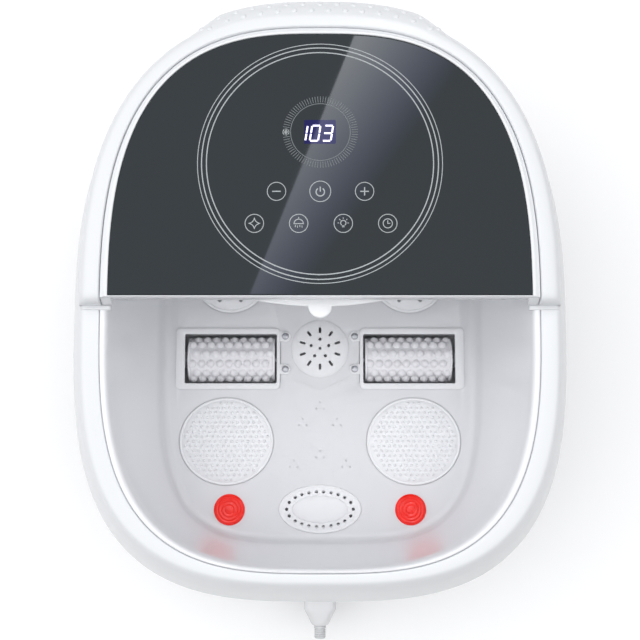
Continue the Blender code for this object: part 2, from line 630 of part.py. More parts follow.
def make_discs():
    """Sole plates, toe plates with slots, the lamps' lenses and boards, and the drain sump's cover."""
    low = FLOOR_Z + GAP
    for side, label in ((-1, "left"), (1, "right")):
        rings = [ellipse(side * DISC_X, DISC_Y, DISC_RX - inset, DISC_RY - inset, low + up, count=28)
                 for up, inset in ((0, 0), (0.0022, 0.0004), (0.0042, 0.0060), (0.0052, 0.0160))]
        loft(f"sole_disc_{label}", rings, "white_fittings")
        profile = [(0, low + 0.0068), (0.022, low + 0.0046), (TOE_R, low + 0.0006), (TOE_R, low),
                   (0.0285, low), (0, low + 0.0036)]
        toe = turned(f"toe_disc_{label}", profile, (side * TOE_X, TOE_Y, 0), "white_fittings", steps=20)
        for k in range(8):
            slot = box(f"toe_slot_{label}_{k}", (0.012, -0.0014, -0.010), (0.0225, 0.0014, 0.010),
                       cutter=True)
            slot.rotation_euler.z = 2 * math.pi * (k + 0.5) / 8
            slot.location = (side * TOE_X, TOE_Y, FLOOR_Z)
            boolean(toe, slot)
        profile = [(0, low + 0.0040), (0.0080, low + 0.0030), (LAMP_R, low + 0.0010), (LAMP_R, low),
                   (LAMP_R - 0.0019, low), (LAMP_R - 0.0019, low - 0.0070), (LAMP_R - 0.0032, low - 0.0070),
                   (LAMP_R - 0.0032, low - 0.0005), (0, low + 0.0020)]
        turned(f"lamp_lens_{label}", profile, (side * LAMP_X, LAMP_Y, 0), "lamp_red", steps=16)
        board = cylinder(f"lamp_board_{label}", LAMP_BOARD_R, BOARD_T, (side * LAMP_X, LAMP_Y, LAMP_BOARD_Z),
                         material="board_green")
        led = box(f"lamp_led_{label}", (side * LAMP_X - 0.003, LAMP_Y - 0.003, 0.0415),
                  (side * LAMP_X + 0.003, LAMP_Y + 0.003, 0.0450), cutter=True)
        boolean(board, led, "UNION")
    rings = [ellipse(0, DRAIN_Y, DRAIN_RX - inset, DRAIN_RY - inset, low + up, count=28)
             for up, inset in ((0, 0), (0.0014, 0.0004), (0.0040, 0.0080))]
    cover = loft("drain_sump_cover", rings, "white_fittings")
    for k in range(8):
        a = 2 * math.pi * (k + 0.5) / 8
        place = (0.0265 * math.cos(a), DRAIN_Y + 0.0115 * math.sin(a), FLOOR_Z)
        boolean(cover, cylinder(f"cover_hole_{k}", 0.0014, 0.02, place, cutter=True, sides=6))


# ---------------------------------------------------------------- control cover
COVER_LOW = LIP_TOP + 0.0005      # underside of the tray
TRAY_T = 0.0020
PANEL_LOW = COVER_TOP - 0.0005 - PANEL_T
COVER_STATIONS = 33


def cover_ring(half_x, rear, front_y, z, n=PANEL_SEAM_N):
    """A D outline at one height: the rear arc, closed by the straight front edge."""
    return [(x, y, z) for x, y in cover_arc(half_x, rear, front_y, COVER_STATIONS, n=n)]


def make_rear_housing():
    """The U-shaped white band round the panel, hollow below, whose rear end is the carrying grip."""
    bottom = RIM_Z + GAP
    profile = [(0.0, COVER_LOW), (0.0, COVER_TOP - 0.0008), (0.10, COVER_TOP), (0.45, COVER_TOP - 0.0003),
               (0.72, COVER_TOP - 0.0018), (0.90, COVER_TOP - 0.0050), (1.0, COVER_TOP - 0.0095),
               (1.0, bottom), (0.24, bottom), (0.24, COVER_LOW)]
    inner = cover_arc(PANEL_SEAM_X, PANEL_SEAM_REAR, HOUSING_FRONT_Y, COVER_STATIONS, n=PANEL_SEAM_N)
    outer = cover_arc(COVER_OUTER_X, COVER_OUTER_REAR, HOUSING_FRONT_Y, COVER_STATIONS, bulge=1.0)
    rings = [[(ix + (ox - ix) * s, iy + (oy - iy) * s, z) for s, z in profile]
             for (ix, iy), (ox, oy) in zip(inner, outer)]
    housing = loft("rear_housing", rings, "white_gloss", smooth=50)
    channel = [(0.17, bottom - 0.002), (0.17, COVER_TOP - 0.0030), (0.70, COVER_TOP - 0.0045),
               (0.82, COVER_TOP - 0.0090), (0.82, bottom - 0.002)]
    ends_kept = 2
    rings = [[(ix + (ox - ix) * s, iy + (oy - iy) * s, z) for s, z in channel]
             for (ix, iy), (ox, oy) in list(zip(inner, outer))[ends_kept:-ends_kept]]
    boolean(housing, loft("housing_channel", rings, None, cutter=True))


def make_panel():
    """The tray that carries the electronics, with its white bezel, the dark panel and the boards."""
    half_x, rear = PANEL_SEAM_X - 0.0006, PANEL_SEAM_REAR - 0.0006
    ledge_x, ledge_rear = PANEL_HALF_X + GAP, PANEL_REAR + GAP
    rim_x, rim_rear = ledge_x - 0.0030, ledge_rear - 0.0030
    edge = COVER_FRONT_Y
    rings = [
        cover_ring(half_x - 0.0008, rear - 0.0008, edge, COVER_LOW),
        cover_ring(half_x, rear, edge, COVER_LOW + 0.0015),
        cover_ring(half_x, rear, edge, COVER_TOP),
        cover_ring(ledge_x, ledge_rear, edge + 0.0013, COVER_TOP, PANEL_N),
        cover_ring(ledge_x, ledge_rear, edge + 0.0013, PANEL_LOW - GAP, PANEL_N),
        cover_ring(rim_x, rim_rear, edge + 0.0040, PANEL_LOW - GAP, PANEL_N),
        cover_ring(rim_x, rim_rear, edge + 0.0040, COVER_LOW + TRAY_T, PANEL_N),
    ]
    loft("panel_tray", rings, "white_gloss", smooth=40)
    rings = [cover_ring(PANEL_HALF_X, PANEL_REAR, edge + 0.0016, z, PANEL_N)
             for z in (PANEL_LOW, PANEL_LOW + PANEL_T)]
    loft("control_panel", rings, "panel_dark")
    board = box("touch_board", (-0.070, 0.060, TOUCH_BOARD_Z), (0.070, 0.170, TOUCH_BOARD_Z + BOARD_T),
                "board_green")
    pad_top = PANEL_LOW - GAP
    for k, (x, y) in enumerate(KEY_PLACES):
        low = TOUCH_BOARD_Z + 0.0010
        pad = cylinder(f"touch_pad_{k}", KEY_PAD_R, pad_top - low, (x, y, (pad_top + low) / 2), cutter=True,
                       sides=8)
        boolean(board, pad, "UNION")
    module_low = TOUCH_BOARD_Z + BOARD_T + GAP
    box("display_module", (-0.0190, 0.1300, module_low), (0.0190, 0.1530, pad_top), "grey_plastic")


# ---------------------------------------------------------------- shower, pump and heater
def make_shower():
    """The spray bar under the cover's front edge: a hollow tube with nozzles, a lip and a finger tab."""
    inner_r = SHOWER_R - SHOWER_WALL
    profile = [(SHOWER_R, SHOWER_HALF), (SHOWER_R, -SHOWER_HALF), (0, -SHOWER_HALF),
               (0, -SHOWER_HALF + 0.002), (inner_r, -SHOWER_HALF + 0.002), (inner_r, SHOWER_HALF)]
    bar = turned("shower_bar", profile, (0, SHOWER_Y, SHOWER_Z), "white_fittings", "X", steps=14,
                 closed=True)
    lip_z = SHOWER_Z + 0.0030
    lip_t = 0.0024
    back = SHOWER_Y - 0.0068
    chord, middle = 0.0229, 0.0193
    stations = (-1, -0.67, -0.33, 0, 0.33, 0.67, 1)
    front = [(LIP_HALF_X * s, middle + (chord - middle) * s * s) for s in stations]
    rings = [[(-LIP_HALF_X, back, z), (LIP_HALF_X, back, z)] + [(x, y, z) for x, y in reversed(front)]
             for z in (lip_z, lip_z + lip_t)]
    boolean(bar, loft("shower_lip", rings, None, cutter=True), "UNION")
    tab = cylinder("shower_tab", TAB_R, lip_t + 0.0006, (0, TAB_Y, lip_z + lip_t / 2), cutter=True, sides=20)
    boolean(bar, tab, "UNION")
    nozzle_x = [side * (NOZZLE_FIRST + NOZZLE_PITCH * k) for side in (-1, 1) for k in range(4)]
    for k, x in enumerate(nozzle_x):
        place = (x, SHOWER_Y, SHOWER_Z - SHOWER_R)
        boolean(bar, cylinder(f"nozzle_{k}", NOZZLE_R, 0.008, place, cutter=True, sides=4))
    for side, label in ((-1, "left"), (1, "right")):
        x = side * BRACKET_X
        bracket = box(f"shower_bracket_{label}", (x - 0.003, SHOWER_Y - 0.011, SHOWER_Z - 0.011),
                      (x + 0.003, SHOWER_Y + 0.011, COVER_LOW - GAP), "white_fittings")
        bore = cylinder(f"bracket_bore_{label}", SHOWER_R + GAP, 0.02, (x, SHOWER_Y, SHOWER_Z), "X",
                        cutter=True)
        boolean(bracket, bore)
    elbow = [(SHOWER_HALF - 0.010, SHOWER_Y, SHOWER_Z), (SHOWER_HALF, SHOWER_Y, SHOWER_Z),
             (SHOWER_HALF + 0.006, SHOWER_Y, SHOWER_Z),
             (SHOWER_HALF + 0.0115, SHOWER_Y + 0.004, SHOWER_Z - 0.001),
             (SHOWER_HALF + 0.0130, SHOWER_Y + 0.014, SHOWER_Z - 0.004)]
    hose("shower_elbow", elbow, HOSE_R, "white_fittings", count=10)


def make_water_circuit():
    """Pump, heater and the hoses between the strainer's sump, the pump and the spray bar."""
    wall, radius, half = 0.002, 0.023, 0.013
    hub = 0.0031
    spigot = 0.0060
    profile = [(spigot, half + 0.010), (spigot, half), (radius, half), (radius, -half), (hub, -half),
               (hub, -half + wall), (radius - wall, -half + wall), (radius - wall, half - wall),
               (spigot - 0.0015, half - wall), (spigot - 0.0015, half + 0.010)]
    volute = turned("pump_volute", profile, (PUMP_X, PUMP_Y, PUMP_Z), "grey_plastic", "X", steps=18,
                    closed=True)
    outlet_z = PUMP_Z + radius
    outlet_spigot = cylinder("outlet_spigot", 0.0055, 0.012, (PUMP_X, PUMP_Y, outlet_z + 0.0035),
                             cutter=True, sides=10)
    boolean(volute, outlet_spigot, "UNION")
    outlet_bore = cylinder("outlet_bore", 0.0035, 0.030, (PUMP_X, PUMP_Y, outlet_z), cutter=True, sides=8)
    boolean(volute, outlet_bore)
    blades = lobed(0.0180, 0.0095, 6, points_each=5)
    flat_outline("pump_impeller", [blades, circle_loop(0.0022, 16)], 0.014, (PUMP_X, PUMP_Y, PUMP_Z), "X",
                 "grey_plastic")
    motor_face = PUMP_X - half - 0.0005
    cylinder("impeller_shaft", 0.0019, 0.030, (PUMP_X - 0.008, PUMP_Y, PUMP_Z), "X", "steel", sides=16)
    profile = [(0.0024, 0.0), (0.0190, 0.0), (0.0190, -0.040), (0.0080, -0.040), (0.0080, -0.043),
               (0.0024, -0.043)]
    turned("pump_motor", profile, (motor_face, PUMP_Y, PUMP_Z), "steel", "X", steps=16, closed=True)
    inlet_x = PUMP_X + half + 0.010

    shoulder = HEATER_HALF - 0.010
    profile = [(0, HEATER_HALF), (HEATER_SPIGOT_R, HEATER_HALF), (HEATER_SPIGOT_R, shoulder),
               (HEATER_R, shoulder), (HEATER_R, -shoulder), (HEATER_SPIGOT_R, -shoulder),
               (HEATER_SPIGOT_R, -HEATER_HALF), (0, -HEATER_HALF)]
    turned("heater", profile, (0, HEATER_Y, HEATER_Z), "steel", "X", steps=14)

    intake = [(0, 0.0175, 0.0308), (0.0, 0.0190, 0.0265), (-0.006, 0.0330, 0.0240), (-0.030, 0.0650, 0.0240),
              (-0.058, 0.0960, 0.0245), (-0.0665, 0.1120, 0.0255), (-0.0600, 0.1190, 0.0260),
              (-HEATER_HALF - 0.0005, HEATER_Y, HEATER_Z)]
    hose("intake_hose", intake, HOSE_R, "hose_clear", count=19)
    warm = [(HEATER_HALF + 0.0005, HEATER_Y, HEATER_Z), (0.062, 0.1215, 0.0262), (0.0735, 0.1330, 0.0280),
            (0.0780, 0.1560, 0.0350), (0.0735, 0.1820, 0.0460), (0.0600, 0.1935, 0.0498),
            (inlet_x + 0.0005, PUMP_Y, PUMP_Z)]
    hose("heater_hose", warm, HOSE_R, "hose_clear", count=20)
    up = [(PUMP_X, PUMP_Y, outlet_z + 0.0100), (PUMP_X, PUMP_Y, 0.105), (0.020, 0.196, 0.150),
          (0.032, 0.188, 0.1745), (0.040, 0.170, 0.1780), (0.040, 0.148, 0.1780), (0.052, 0.122, 0.1785),
          (0.088, 0.088, 0.1805), (0.1165, 0.0680, 0.1820),
          (SHOWER_HALF + 0.0128, SHOWER_Y + 0.0165, SHOWER_Z - 0.0046)]
    hose("feed_hose", up, FEED_HOSE_R, "hose_clear", count=28)


# ---------------------------------------------------------------- electrics and drain
def make_electrics():
    """The mains board on the base, and the gland that the mains lead comes in through."""
    board = box("mains_board", (-0.104, 0.130, MAINS_BOARD_Z), (-0.054, 0.160, MAINS_BOARD_Z + BOARD_T),
                "board_green")
    middle_z = MAINS_BOARD_Z + BOARD_T / 2
    components = [(-0.092, 0.146, 0.014, 0.018, 0.014), (-0.073, 0.139, 0.012, 0.009, 0.010),
                  (-0.066, 0.152, 0.010, 0.008, 0.012)]
    for k, (x, y, dx, dy, tall) in enumerate(components):
        part = box(f"component_{k}", (x - dx / 2, y - dy / 2, middle_z),
                   (x + dx / 2, y + dy / 2, MAINS_BOARD_Z + tall), cutter=True)
        boolean(board, part, "UNION")
    for k, (x, y) in enumerate([(-0.101, 0.133), (-0.101, 0.157), (-0.057, 0.133), (-0.057, 0.157)]):
        low, high = BASE_Z + BASE_T + GAP, middle_z
        post = cylinder(f"post_{k}", 0.0020, high - low, (x, y, (high + low) / 2), cutter=True, sides=8)
        boolean(board, post, "UNION")
    wall_y = 0.2305
    profile = [(0.0034, 0.010), (0.0060, 0.010), (0.0095, 0.0062), (0.0095, 0.0046), (GLAND_R, 0.0046),
               (GLAND_R, -0.010), (0.0034, -0.010)]
    turned("mains_gland", profile, (GLAND_X, wall_y, GLAND_Z), "grey_plastic", "Y", steps=14, closed=True)


def make_drain():
    """The outlet at the foot of the front wall: tube, tapered spout, and a ribbed plug that pulls out."""
    spout_back, straight_end, neck = -0.176, -0.219, -0.2330
    tube = [(0, DRAIN_Y - 0.004, 0.0356), (0, DRAIN_Y - 0.0040, 0.0336), (0, DRAIN_Y - 0.0090, 0.0300),
            (0, DRAIN_Y - 0.020, DRAIN_Z), (0, spout_back + 0.0005, DRAIN_Z)]
    hose("drain_tube", tube, DRAIN_TUBE_R, "hose_clear", count=17)

    def section(y, half_x, half_z, n):
        return [(x, y, DRAIN_Z + z) for x, z, _ in ellipse(0, 0, half_x, half_z, 0, n, 20)]

    rings = [section(spout_back, SPOUT_HALF_X, SPOUT_HALF_Z, 4.5),
             section(straight_end, SPOUT_HALF_X, SPOUT_HALF_Z, 4.5), section(-0.2225, 0.0118, 0.0098, 3.6),
             section(-0.2285, 0.0088, 0.0080, 2.8), section(neck, 0.0060, 0.0060, 2.0)]
    spout = loft("drain_spout", rings, "white_fittings", smooth=40)
    bore_r = 0.0042
    boolean(spout, cylinder("spout_bore", bore_r, 0.080, (0, -0.205, DRAIN_Z), "Y", cutter=True))
    tip = 0.2436
    groove_r, stem_r = 0.0028, bore_r - 0.0004
    stem = [(0, -0.2170), (stem_r, -0.2170), (stem_r, -0.2210), (groove_r, -0.2210), (groove_r, -0.2225),
            (stem_r, -0.2225), (stem_r, neck - GAP), (0.0050, neck - GAP), (0.0050, -0.2360)]
    ribs = [(0.0038, -0.2365), (0.0038, -0.2380), (0.0047, -0.2385), (0.0038, -0.2405), (0.0047, -0.2410)]
    profile = stem + ribs + [(0.0045, -tip), (0, -tip)]
    turned("drain_plug", profile, (0, 0, DRAIN_Z), "white_fittings", "Y", steps=12)
    ring = [(0.0036, 0.0006), (0.00395, 0.0), (0.0036, -0.0006), (groove_r + GAP, -0.0006),
            (groove_r + GAP, 0.0006)]
    turned("drain_seal", ring, (0, -0.22175, DRAIN_Z), "rubber_dark", "Y", steps=12, closed=True)


make_casing()
make_base()
make_tub()
make_rollers()
make_gears()
make_strainer()
make_discs()
make_rear_housing()
make_panel()
make_shower()
make_water_circuit()
make_electrics()
make_drain()
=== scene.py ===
"""The looks of a foot spa basin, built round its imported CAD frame.

Metres, +Z up, the heel end with the drain at -Y and the control cover at +Y. Tables inside mm() are in
millimetres.
"""
import math

import bmesh
import bpy
from mathutils import Matrix, Vector


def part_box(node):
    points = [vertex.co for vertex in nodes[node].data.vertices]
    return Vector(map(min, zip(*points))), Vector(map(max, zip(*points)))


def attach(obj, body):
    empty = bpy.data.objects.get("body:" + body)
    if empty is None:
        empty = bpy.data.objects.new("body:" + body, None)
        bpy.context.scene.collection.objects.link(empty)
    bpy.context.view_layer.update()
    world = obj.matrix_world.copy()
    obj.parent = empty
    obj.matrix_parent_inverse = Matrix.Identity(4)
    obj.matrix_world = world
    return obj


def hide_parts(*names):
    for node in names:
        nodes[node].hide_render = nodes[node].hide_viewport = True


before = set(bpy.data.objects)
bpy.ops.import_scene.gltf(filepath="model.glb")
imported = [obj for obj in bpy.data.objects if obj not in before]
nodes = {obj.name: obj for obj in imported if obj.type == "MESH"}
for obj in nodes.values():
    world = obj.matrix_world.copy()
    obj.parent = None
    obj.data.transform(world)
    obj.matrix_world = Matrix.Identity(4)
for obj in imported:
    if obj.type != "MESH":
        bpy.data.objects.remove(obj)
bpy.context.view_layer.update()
scene = bpy.context.scene


def mm(rows):
    """Rows of millimetres as rows of metres."""
    return [tuple(value / 1000 for value in row) for row in rows]


def box_of(name):
    """The middle and the half sizes of a CAD node's box."""
    low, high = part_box(name)
    return (low + high) / 2, (high - low) / 2


# ---------------------------------------------------------------- sizes shared with the CAD model
WIDEST_Y = 0.017
RIM_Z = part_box("outer_casing")[1].z
REAR_N, RIM_FRONT_N, FLOOR_FRONT_N, TUB_REAR_N = 2.55, 3.1, 4.0, 2.6
COVER_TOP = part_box("panel_tray")[1].z
COVER_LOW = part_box("panel_tray")[0].z
COVER_FRONT_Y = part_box("panel_tray")[0].y
HOUSING_FRONT_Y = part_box("rear_housing")[0].y
COVER_OUTER_X, COVER_OUTER_REAR = 0.1734, 0.236
PANEL_SEAM_X, PANEL_SEAM_REAR, PANEL_SEAM_N = 0.1570, 0.2206, 2.73
PANEL_HALF_X, PANEL_REAR, PANEL_N = 0.1504, 0.2148, 2.82
PANEL_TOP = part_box("control_panel")[1].z
PANEL_T = 0.0025
HANDLE_REACH, HANDLE_HALF, HANDLE_FADE = 0.0076, 0.070, 0.098
FLOOR_Z = 0.050
FITTING_LOW = FLOOR_Z + 0.0003      # underside of the pieces that lie on the floor
AROUND = 192                        # points round a plan outline
SIDES = ((-1, "left"), (1, "right"))

# ---------------------------------------------------------------- camera and light
EYE = Vector((0.0, -0.0862, 0.9945))
TILT = math.radians(6.7)

camera_data = bpy.data.cameras.new("camera")
camera_data.lens = 62.5
camera_data.sensor_width = 36.0
camera_data.clip_start = 0.01
camera = bpy.data.objects.new("camera", camera_data)
camera.location = EYE
camera.rotation_euler = (TILT, 0.0, 0.0)
scene.collection.objects.link(camera)
scene.camera = camera
scene.view_settings.view_transform = "Standard"


def node(tree, kind, **values):
    """A new shader node; each value goes to the input or the setting of that name."""
    made = tree.nodes.new(kind)
    for key, value in values.items():
        if key in made.inputs:
            made.inputs[key].default_value = value
        else:
            setattr(made, key, value)
    return made


def ramp(tree, value, start, end, at_start, at_end, **settings):
    """A socket's value carried from one span of numbers to another."""
    made = node(tree, "ShaderNodeMapRange", **settings)
    for key, number in zip(("From Min", "From Max", "To Min", "To Max"), (start, end, at_start, at_end)):
        made.inputs[key].default_value = number
    tree.links.new(value, made.inputs["Value"])
    return made.outputs["Result"]


def maths(tree, operation, *values):
    """The result of a sum over sockets and numbers."""
    made = node(tree, "ShaderNodeMath", operation=operation)
    for slot, value in zip(made.inputs, values):
        if isinstance(value, float):
            slot.default_value = value
        else:
            tree.links.new(value, slot)
    return made.outputs[0]


def world_light(zenith, horizon, ends):
    """A dome of light, brightest overhead, that is dimmer low down towards the given ends of an axis."""
    scene.world = bpy.data.worlds.new("studio")
    scene.world.use_nodes = True
    tree = scene.world.node_tree
    place = node(tree, "ShaderNodeTexCoord")
    split = node(tree, "ShaderNodeSeparateXYZ")
    tree.links.new(place.outputs["Generated"], split.inputs[0])
    strength = ramp(tree, split.outputs["Z"], 0.0, 0.75, horizon, zenith, interpolation_type="SMOOTHSTEP")
    for axis, *span in ends:
        part = ramp(tree, split.outputs[axis], *span, interpolation_type="SMOOTHSTEP")
        strength = maths(tree, "MULTIPLY", strength, part)
    background = tree.nodes["Background"]
    tree.links.new(strength, background.inputs["Strength"])
    background.inputs["Color"].default_value = (0.985, 0.99, 1.0, 1.0)


def area_light(name, place, aim, size, power, spread=180):
    data = bpy.data.lights.new(name, "AREA")
    data.shape = "RECTANGLE"
    data.size, data.size_y = size
    data.energy = power
    data.spread = math.radians(spread)
    light = bpy.data.objects.new(name, data)
    light.location = place
    light.rotation_euler = (Vector(aim) - Vector(place)).to_track_quat("-Z", "Y").to_euler()
    light.visible_glossy = False
    scene.collection.objects.link(light)


world_light(1.44, 0.20, [("Y", -0.90, -0.40, 0.06, 1.0), ("Y", 0.45, 0.92, 1.0, 0.15),
                         ("X", 0.60, 0.98, 1.0, 0.45)])
area_light("key", (-0.9, 0.2, 1.6), (0, 0, 0.1), (1.4, 1.4), 3.5)
area_light("lip", (0, -0.45, 0.75), (0, 0.012, 0.190), (0.10, 0.03), 0.005, 12)


def surface(name, slot, colour, roughness, mottle=0.025, scale=22.0, rough_spread=0.12, grain=0.05,
            grain_scale=1400.0, stretch=(1, 1, 1), **sockets):
    """A Principled material with slow colour and gloss changes and a fine moulded or machined grain."""
    made = bpy.data.materials.new(name)
    made.use_nodes = True
    tree = made.node_tree
    link = tree.links.new
    shader = tree.nodes["Principled BSDF"]
    for key, value in sockets.items():
        shader.inputs[key.replace("_", " ")].default_value = value
    place = node(tree, "ShaderNodeTexCoord")
    mapping = node(tree, "ShaderNodeMapping", Scale=stretch)
    link(place.outputs["Object"], mapping.inputs["Vector"])

    def noise(size, detail):
        made = node(tree, "ShaderNodeTexNoise", Scale=size, Detail=detail)
        link(mapping.outputs["Vector"], made.inputs["Vector"])
        return made.outputs["Fac"]

    blend = node(tree, "ShaderNodeMix", data_type="RGBA")
    blend.inputs[6].default_value = (*(c * (1 - mottle) for c in colour), 1.0)
    blend.inputs[7].default_value = (*(min(1.0, c * (1 + mottle)) for c in colour), 1.0)
    link(noise(scale, 4.0), blend.inputs[0])
    link(blend.outputs[2], shader.inputs["Base Color"])
    gloss = ramp(tree, noise(scale * 3.1, 5.0), 0.1, 0.9, roughness * (1 - rough_spread),
                 roughness * (1 + rough_spread), clamp=False)
    link(gloss, shader.inputs["Roughness"])
    if grain:
        bump = node(tree, "ShaderNodeBump", Strength=grain, Distance=0.0002)
        link(noise(grain_scale, 2.0), bump.inputs["Height"])
        link(bump.outputs["Normal"], shader.inputs["Normal"])
    return made


def paint_floor_shade(material, low_z, high_z, share):
    """Paints shade into a material's colour: slightly greyer on the basin's floor than on its walls."""
    tree = material.node_tree
    base = tree.nodes["Principled BSDF"].inputs["Base Color"]
    place = node(tree, "ShaderNodeTexCoord")
    split = node(tree, "ShaderNodeSeparateXYZ")
    scaled = node(tree, "ShaderNodeVectorMath", operation="SCALE")
    tree.links.new(place.outputs["Object"], split.inputs[0])
    rise = ramp(tree, split.outputs["Z"], low_z, high_z, share, 1.0, interpolation_type="SMOOTHSTEP")
    tree.links.new(base.links[0].from_socket, scaled.inputs[0])
    tree.links.new(rise, scaled.inputs["Scale"])
    tree.links.new(scaled.outputs[0], base)


WHITE = surface("white_gloss", "white_gloss", (0.84, 0.855, 0.875), 0.32, 0.006, 9.0, 0.06, 0.02, 140.0,
                Coat_Weight=0.3, Coat_Roughness=0.10)
TUB = surface("tub_white", "tub_white", (0.955, 0.963, 0.990), 0.33, 0.008, 9.0, 0.05, 0.02, 140.0,
              Coat_Weight=0.2, Coat_Roughness=0.15)
# painted shade: the tub's colour is made greyer on its floor than on its walls
paint_floor_shade(TUB, 0.0490, 0.0720, 0.84)
FITTING = surface("white_fitting", "white_fittings", (0.93, 0.937, 0.955), 0.36, 0.012, rough_spread=0.08,
                  grain=0.03, grain_scale=300.0)
PANEL = surface("panel_dark", "panel_dark", (0.004, 0.011, 0.016), 0.024, 0.10, 9.0, 0.35, 0.0,
                Specular_IOR_Level=0.37)
PRINT = surface("print_grey", "panel_dark", (0.42, 0.45, 0.46), 0.35, 0.05, 60.0, grain=0.0)
PRINT_DIM = surface("print_dim", "panel_dark", (0.16, 0.18, 0.19), 0.35, 0.06, 60.0, grain=0.0)
LENS = surface("lamp_red", "lamp_red", (0.88, 0.012, 0.006), 0.16, 0.18, 160.0, grain_scale=260.0,
               Coat_Weight=0.15, Emission_Color=(1.0, 0.022, 0.006, 1.0), Emission_Strength=0.16)
RUBBER = surface("rubber_dark", "rubber_dark", (0.035, 0.035, 0.038), 0.72, 0.15, 90.0, grain=0.35,
                 grain_scale=900.0)
STEEL = surface("steel", "steel", (0.56, 0.57, 0.60), 0.33, 0.06, 60.0, grain=0.12, grain_scale=420.0,
                stretch=(6, 1, 1), Metallic=1.0)
BRASS = surface("brass", "brass", (0.66, 0.47, 0.18), 0.34, 0.10, 70.0, grain=0.10, Metallic=1.0)
BOARD = surface("board_green", "board_green", (0.018, 0.125, 0.055), 0.42, 0.35, 260.0, grain=0.20,
                grain_scale=500.0)
HOSE = surface("hose_clear", "hose_clear", (0.70, 0.73, 0.75), 0.34, 0.05, 50.0, grain=0.08,
               Transmission_Weight=0.25)
GREY = surface("grey_plastic", "grey_plastic", (0.23, 0.235, 0.25), 0.50, 0.08, 60.0, grain=0.20)
CLEAR = surface("drain_translucent", "white_fittings", (0.95, 0.955, 0.97), 0.20, 0.02, 60.0, grain=0.0,
                Transmission_Weight=0.06)
SCREEN = surface("display_screen", "panel_dark", (0.001, 0.001, 0.045), 0.03, 0.20, 400.0, grain=0.0,
                 Specular_IOR_Level=0.22, Emission_Color=(0.01, 0.0, 0.30, 1.0), Emission_Strength=0.16)
ROLLER = surface("roller_white", "white_fittings", (0.93, 0.925, 0.95), 0.36, 0.04, grain=0.06,
                 grain_scale=700.0)
BEZEL = surface("bezel_white", "white_gloss", (0.87, 0.885, 0.905), 0.22, 0.006, 9.0, 0.05, 0.0,
                Coat_Weight=0.4, Coat_Roughness=0.08)
PLUG = surface("plug_grey", "white_fittings", (0.72, 0.73, 0.74), 0.42, 0.06, 120.0, grain=0.12,
               grain_scale=900.0)
FLOOR = surface("floor_pale", None, (0.90, 0.90, 0.905), 0.70, 0.004, 3.0, grain=0.0,
                Emission_Color=(1.0, 1.0, 1.0, 1.0), Emission_Strength=0.14)
BOUNCE = surface("floor_bounce", None, (0.57, 0.57, 0.575), 0.80, 0.004, 3.0, grain=0.0)
DIGIT = surface("display_digit", "panel_dark", (0.75, 0.74, 0.98), 0.36, 0.04, 300.0, grain=0.0,
                Emission_Color=(0.80, 0.76, 1.0, 1.0), Emission_Strength=1.1)

# ---------------------------------------------------------------- mesh helpers
AXIS_TURN = {
    "Z": Matrix.Identity(4),
    "X": Matrix.Rotation(math.radians(90), 4, "Y"),
    "Y": Matrix.Rotation(math.radians(-90), 4, "X"),
}


def mesh_from(name, bm):
    mesh = bpy.data.meshes.new(name)
    bm.to_mesh(mesh)
    bm.free()
    return mesh


def set_shading(mesh, sharp):
    mesh.shade_smooth()
    mesh.set_sharp_from_angle(angle=math.radians(sharp))


def piece(name, bm, look, replaced=None, body="housing", sharp=35):
    """A finished piece from a bmesh: faces out, smooth, riding on its body."""
    bmesh.ops.recalc_face_normals(bm, faces=bm.faces)
    mesh = mesh_from(name, bm)
    mesh.materials.append(look)
    set_shading(mesh, sharp)
    obj = bpy.data.objects.new(name, mesh)
    scene.collection.objects.link(obj)
    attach(obj, body)
    if replaced:
        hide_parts(replaced)
    return obj


def cut(obj, bm, sharp=35, operation="DIFFERENCE"):
    """Cuts the closed shapes in a bmesh out of a piece."""
    bmesh.ops.recalc_face_normals(bm, faces=bm.faces)
    tool = bpy.data.objects.new("tool", mesh_from("tool", bm))
    scene.collection.objects.link(tool)
    step = obj.modifiers.new("step", "BOOLEAN")
    step.operation = operation
    step.solver = "EXACT"
    step.object = tool
    graph = bpy.context.evaluated_depsgraph_get()
    made = bpy.data.meshes.new_from_object(obj.evaluated_get(graph))
    obj.modifiers.clear()
    obj.data = made
    bpy.data.objects.remove(tool)
    set_shading(made, sharp)


def join(obj, bm, sharp=35):
    """Joins the closed shapes in a bmesh onto a piece."""
    cut(obj, bm, sharp, "UNION")


def add_rings(bm, rings, caps=True, joined=False):
    """A skin over closed rings, capped or joined end to end."""
    rows = [[bm.verts.new(p) for p in ring] for ring in rings]
    pairs = list(zip(rows, rows[1:]))
    if joined:
        pairs.append((rows[-1], rows[0]))
    for low, high in pairs:
        for i in range(len(low)):
            j = (i + 1) % len(low)
            bm.faces.new((low[i], low[j], high[j], high[i]))
    if caps and not joined:
        bm.faces.new(rows[0])
        bm.faces.new(rows[-1])


def add_turned(bm, profile, matrix, steps=48, closed=False):
    """A profile of (radius, height) turned round the matrix's Z axis; points on the axis close it."""
    angles = [2 * math.pi * k / steps for k in range(steps)]
    columns = []
    for r, z in profile:
        spots = [(0, 0, z)] if r < 1e-7 else [(r * math.cos(a), r * math.sin(a), z) for a in angles]
        columns.append([bm.verts.new(matrix @ Vector(p)) for p in spots])
    pairs = list(zip(columns, columns[1:]))
    if closed:
        pairs.append((columns[-1], columns[0]))
    for a, b in pairs:
        if len(a) == 1 and len(b) == 1:
            continue
        for i in range(steps):
            j = (i + 1) % steps
            if len(a) == 1:
                bm.faces.new((a[0], b[i], b[j]))
            elif len(b) == 1:
                bm.faces.new((a[i], a[j], b[0]))
            else:
                bm.faces.new((a[i], a[j], b[j], b[i]))


def ringed(rings, caps=True, joined=False):
    bm = bmesh.new()
    add_rings(bm, rings, caps, joined)
    return bm


def turned(profile, matrix, steps=48, closed=False):
    bm = bmesh.new()
    add_turned(bm, profile, matrix, steps, closed)
    return bm


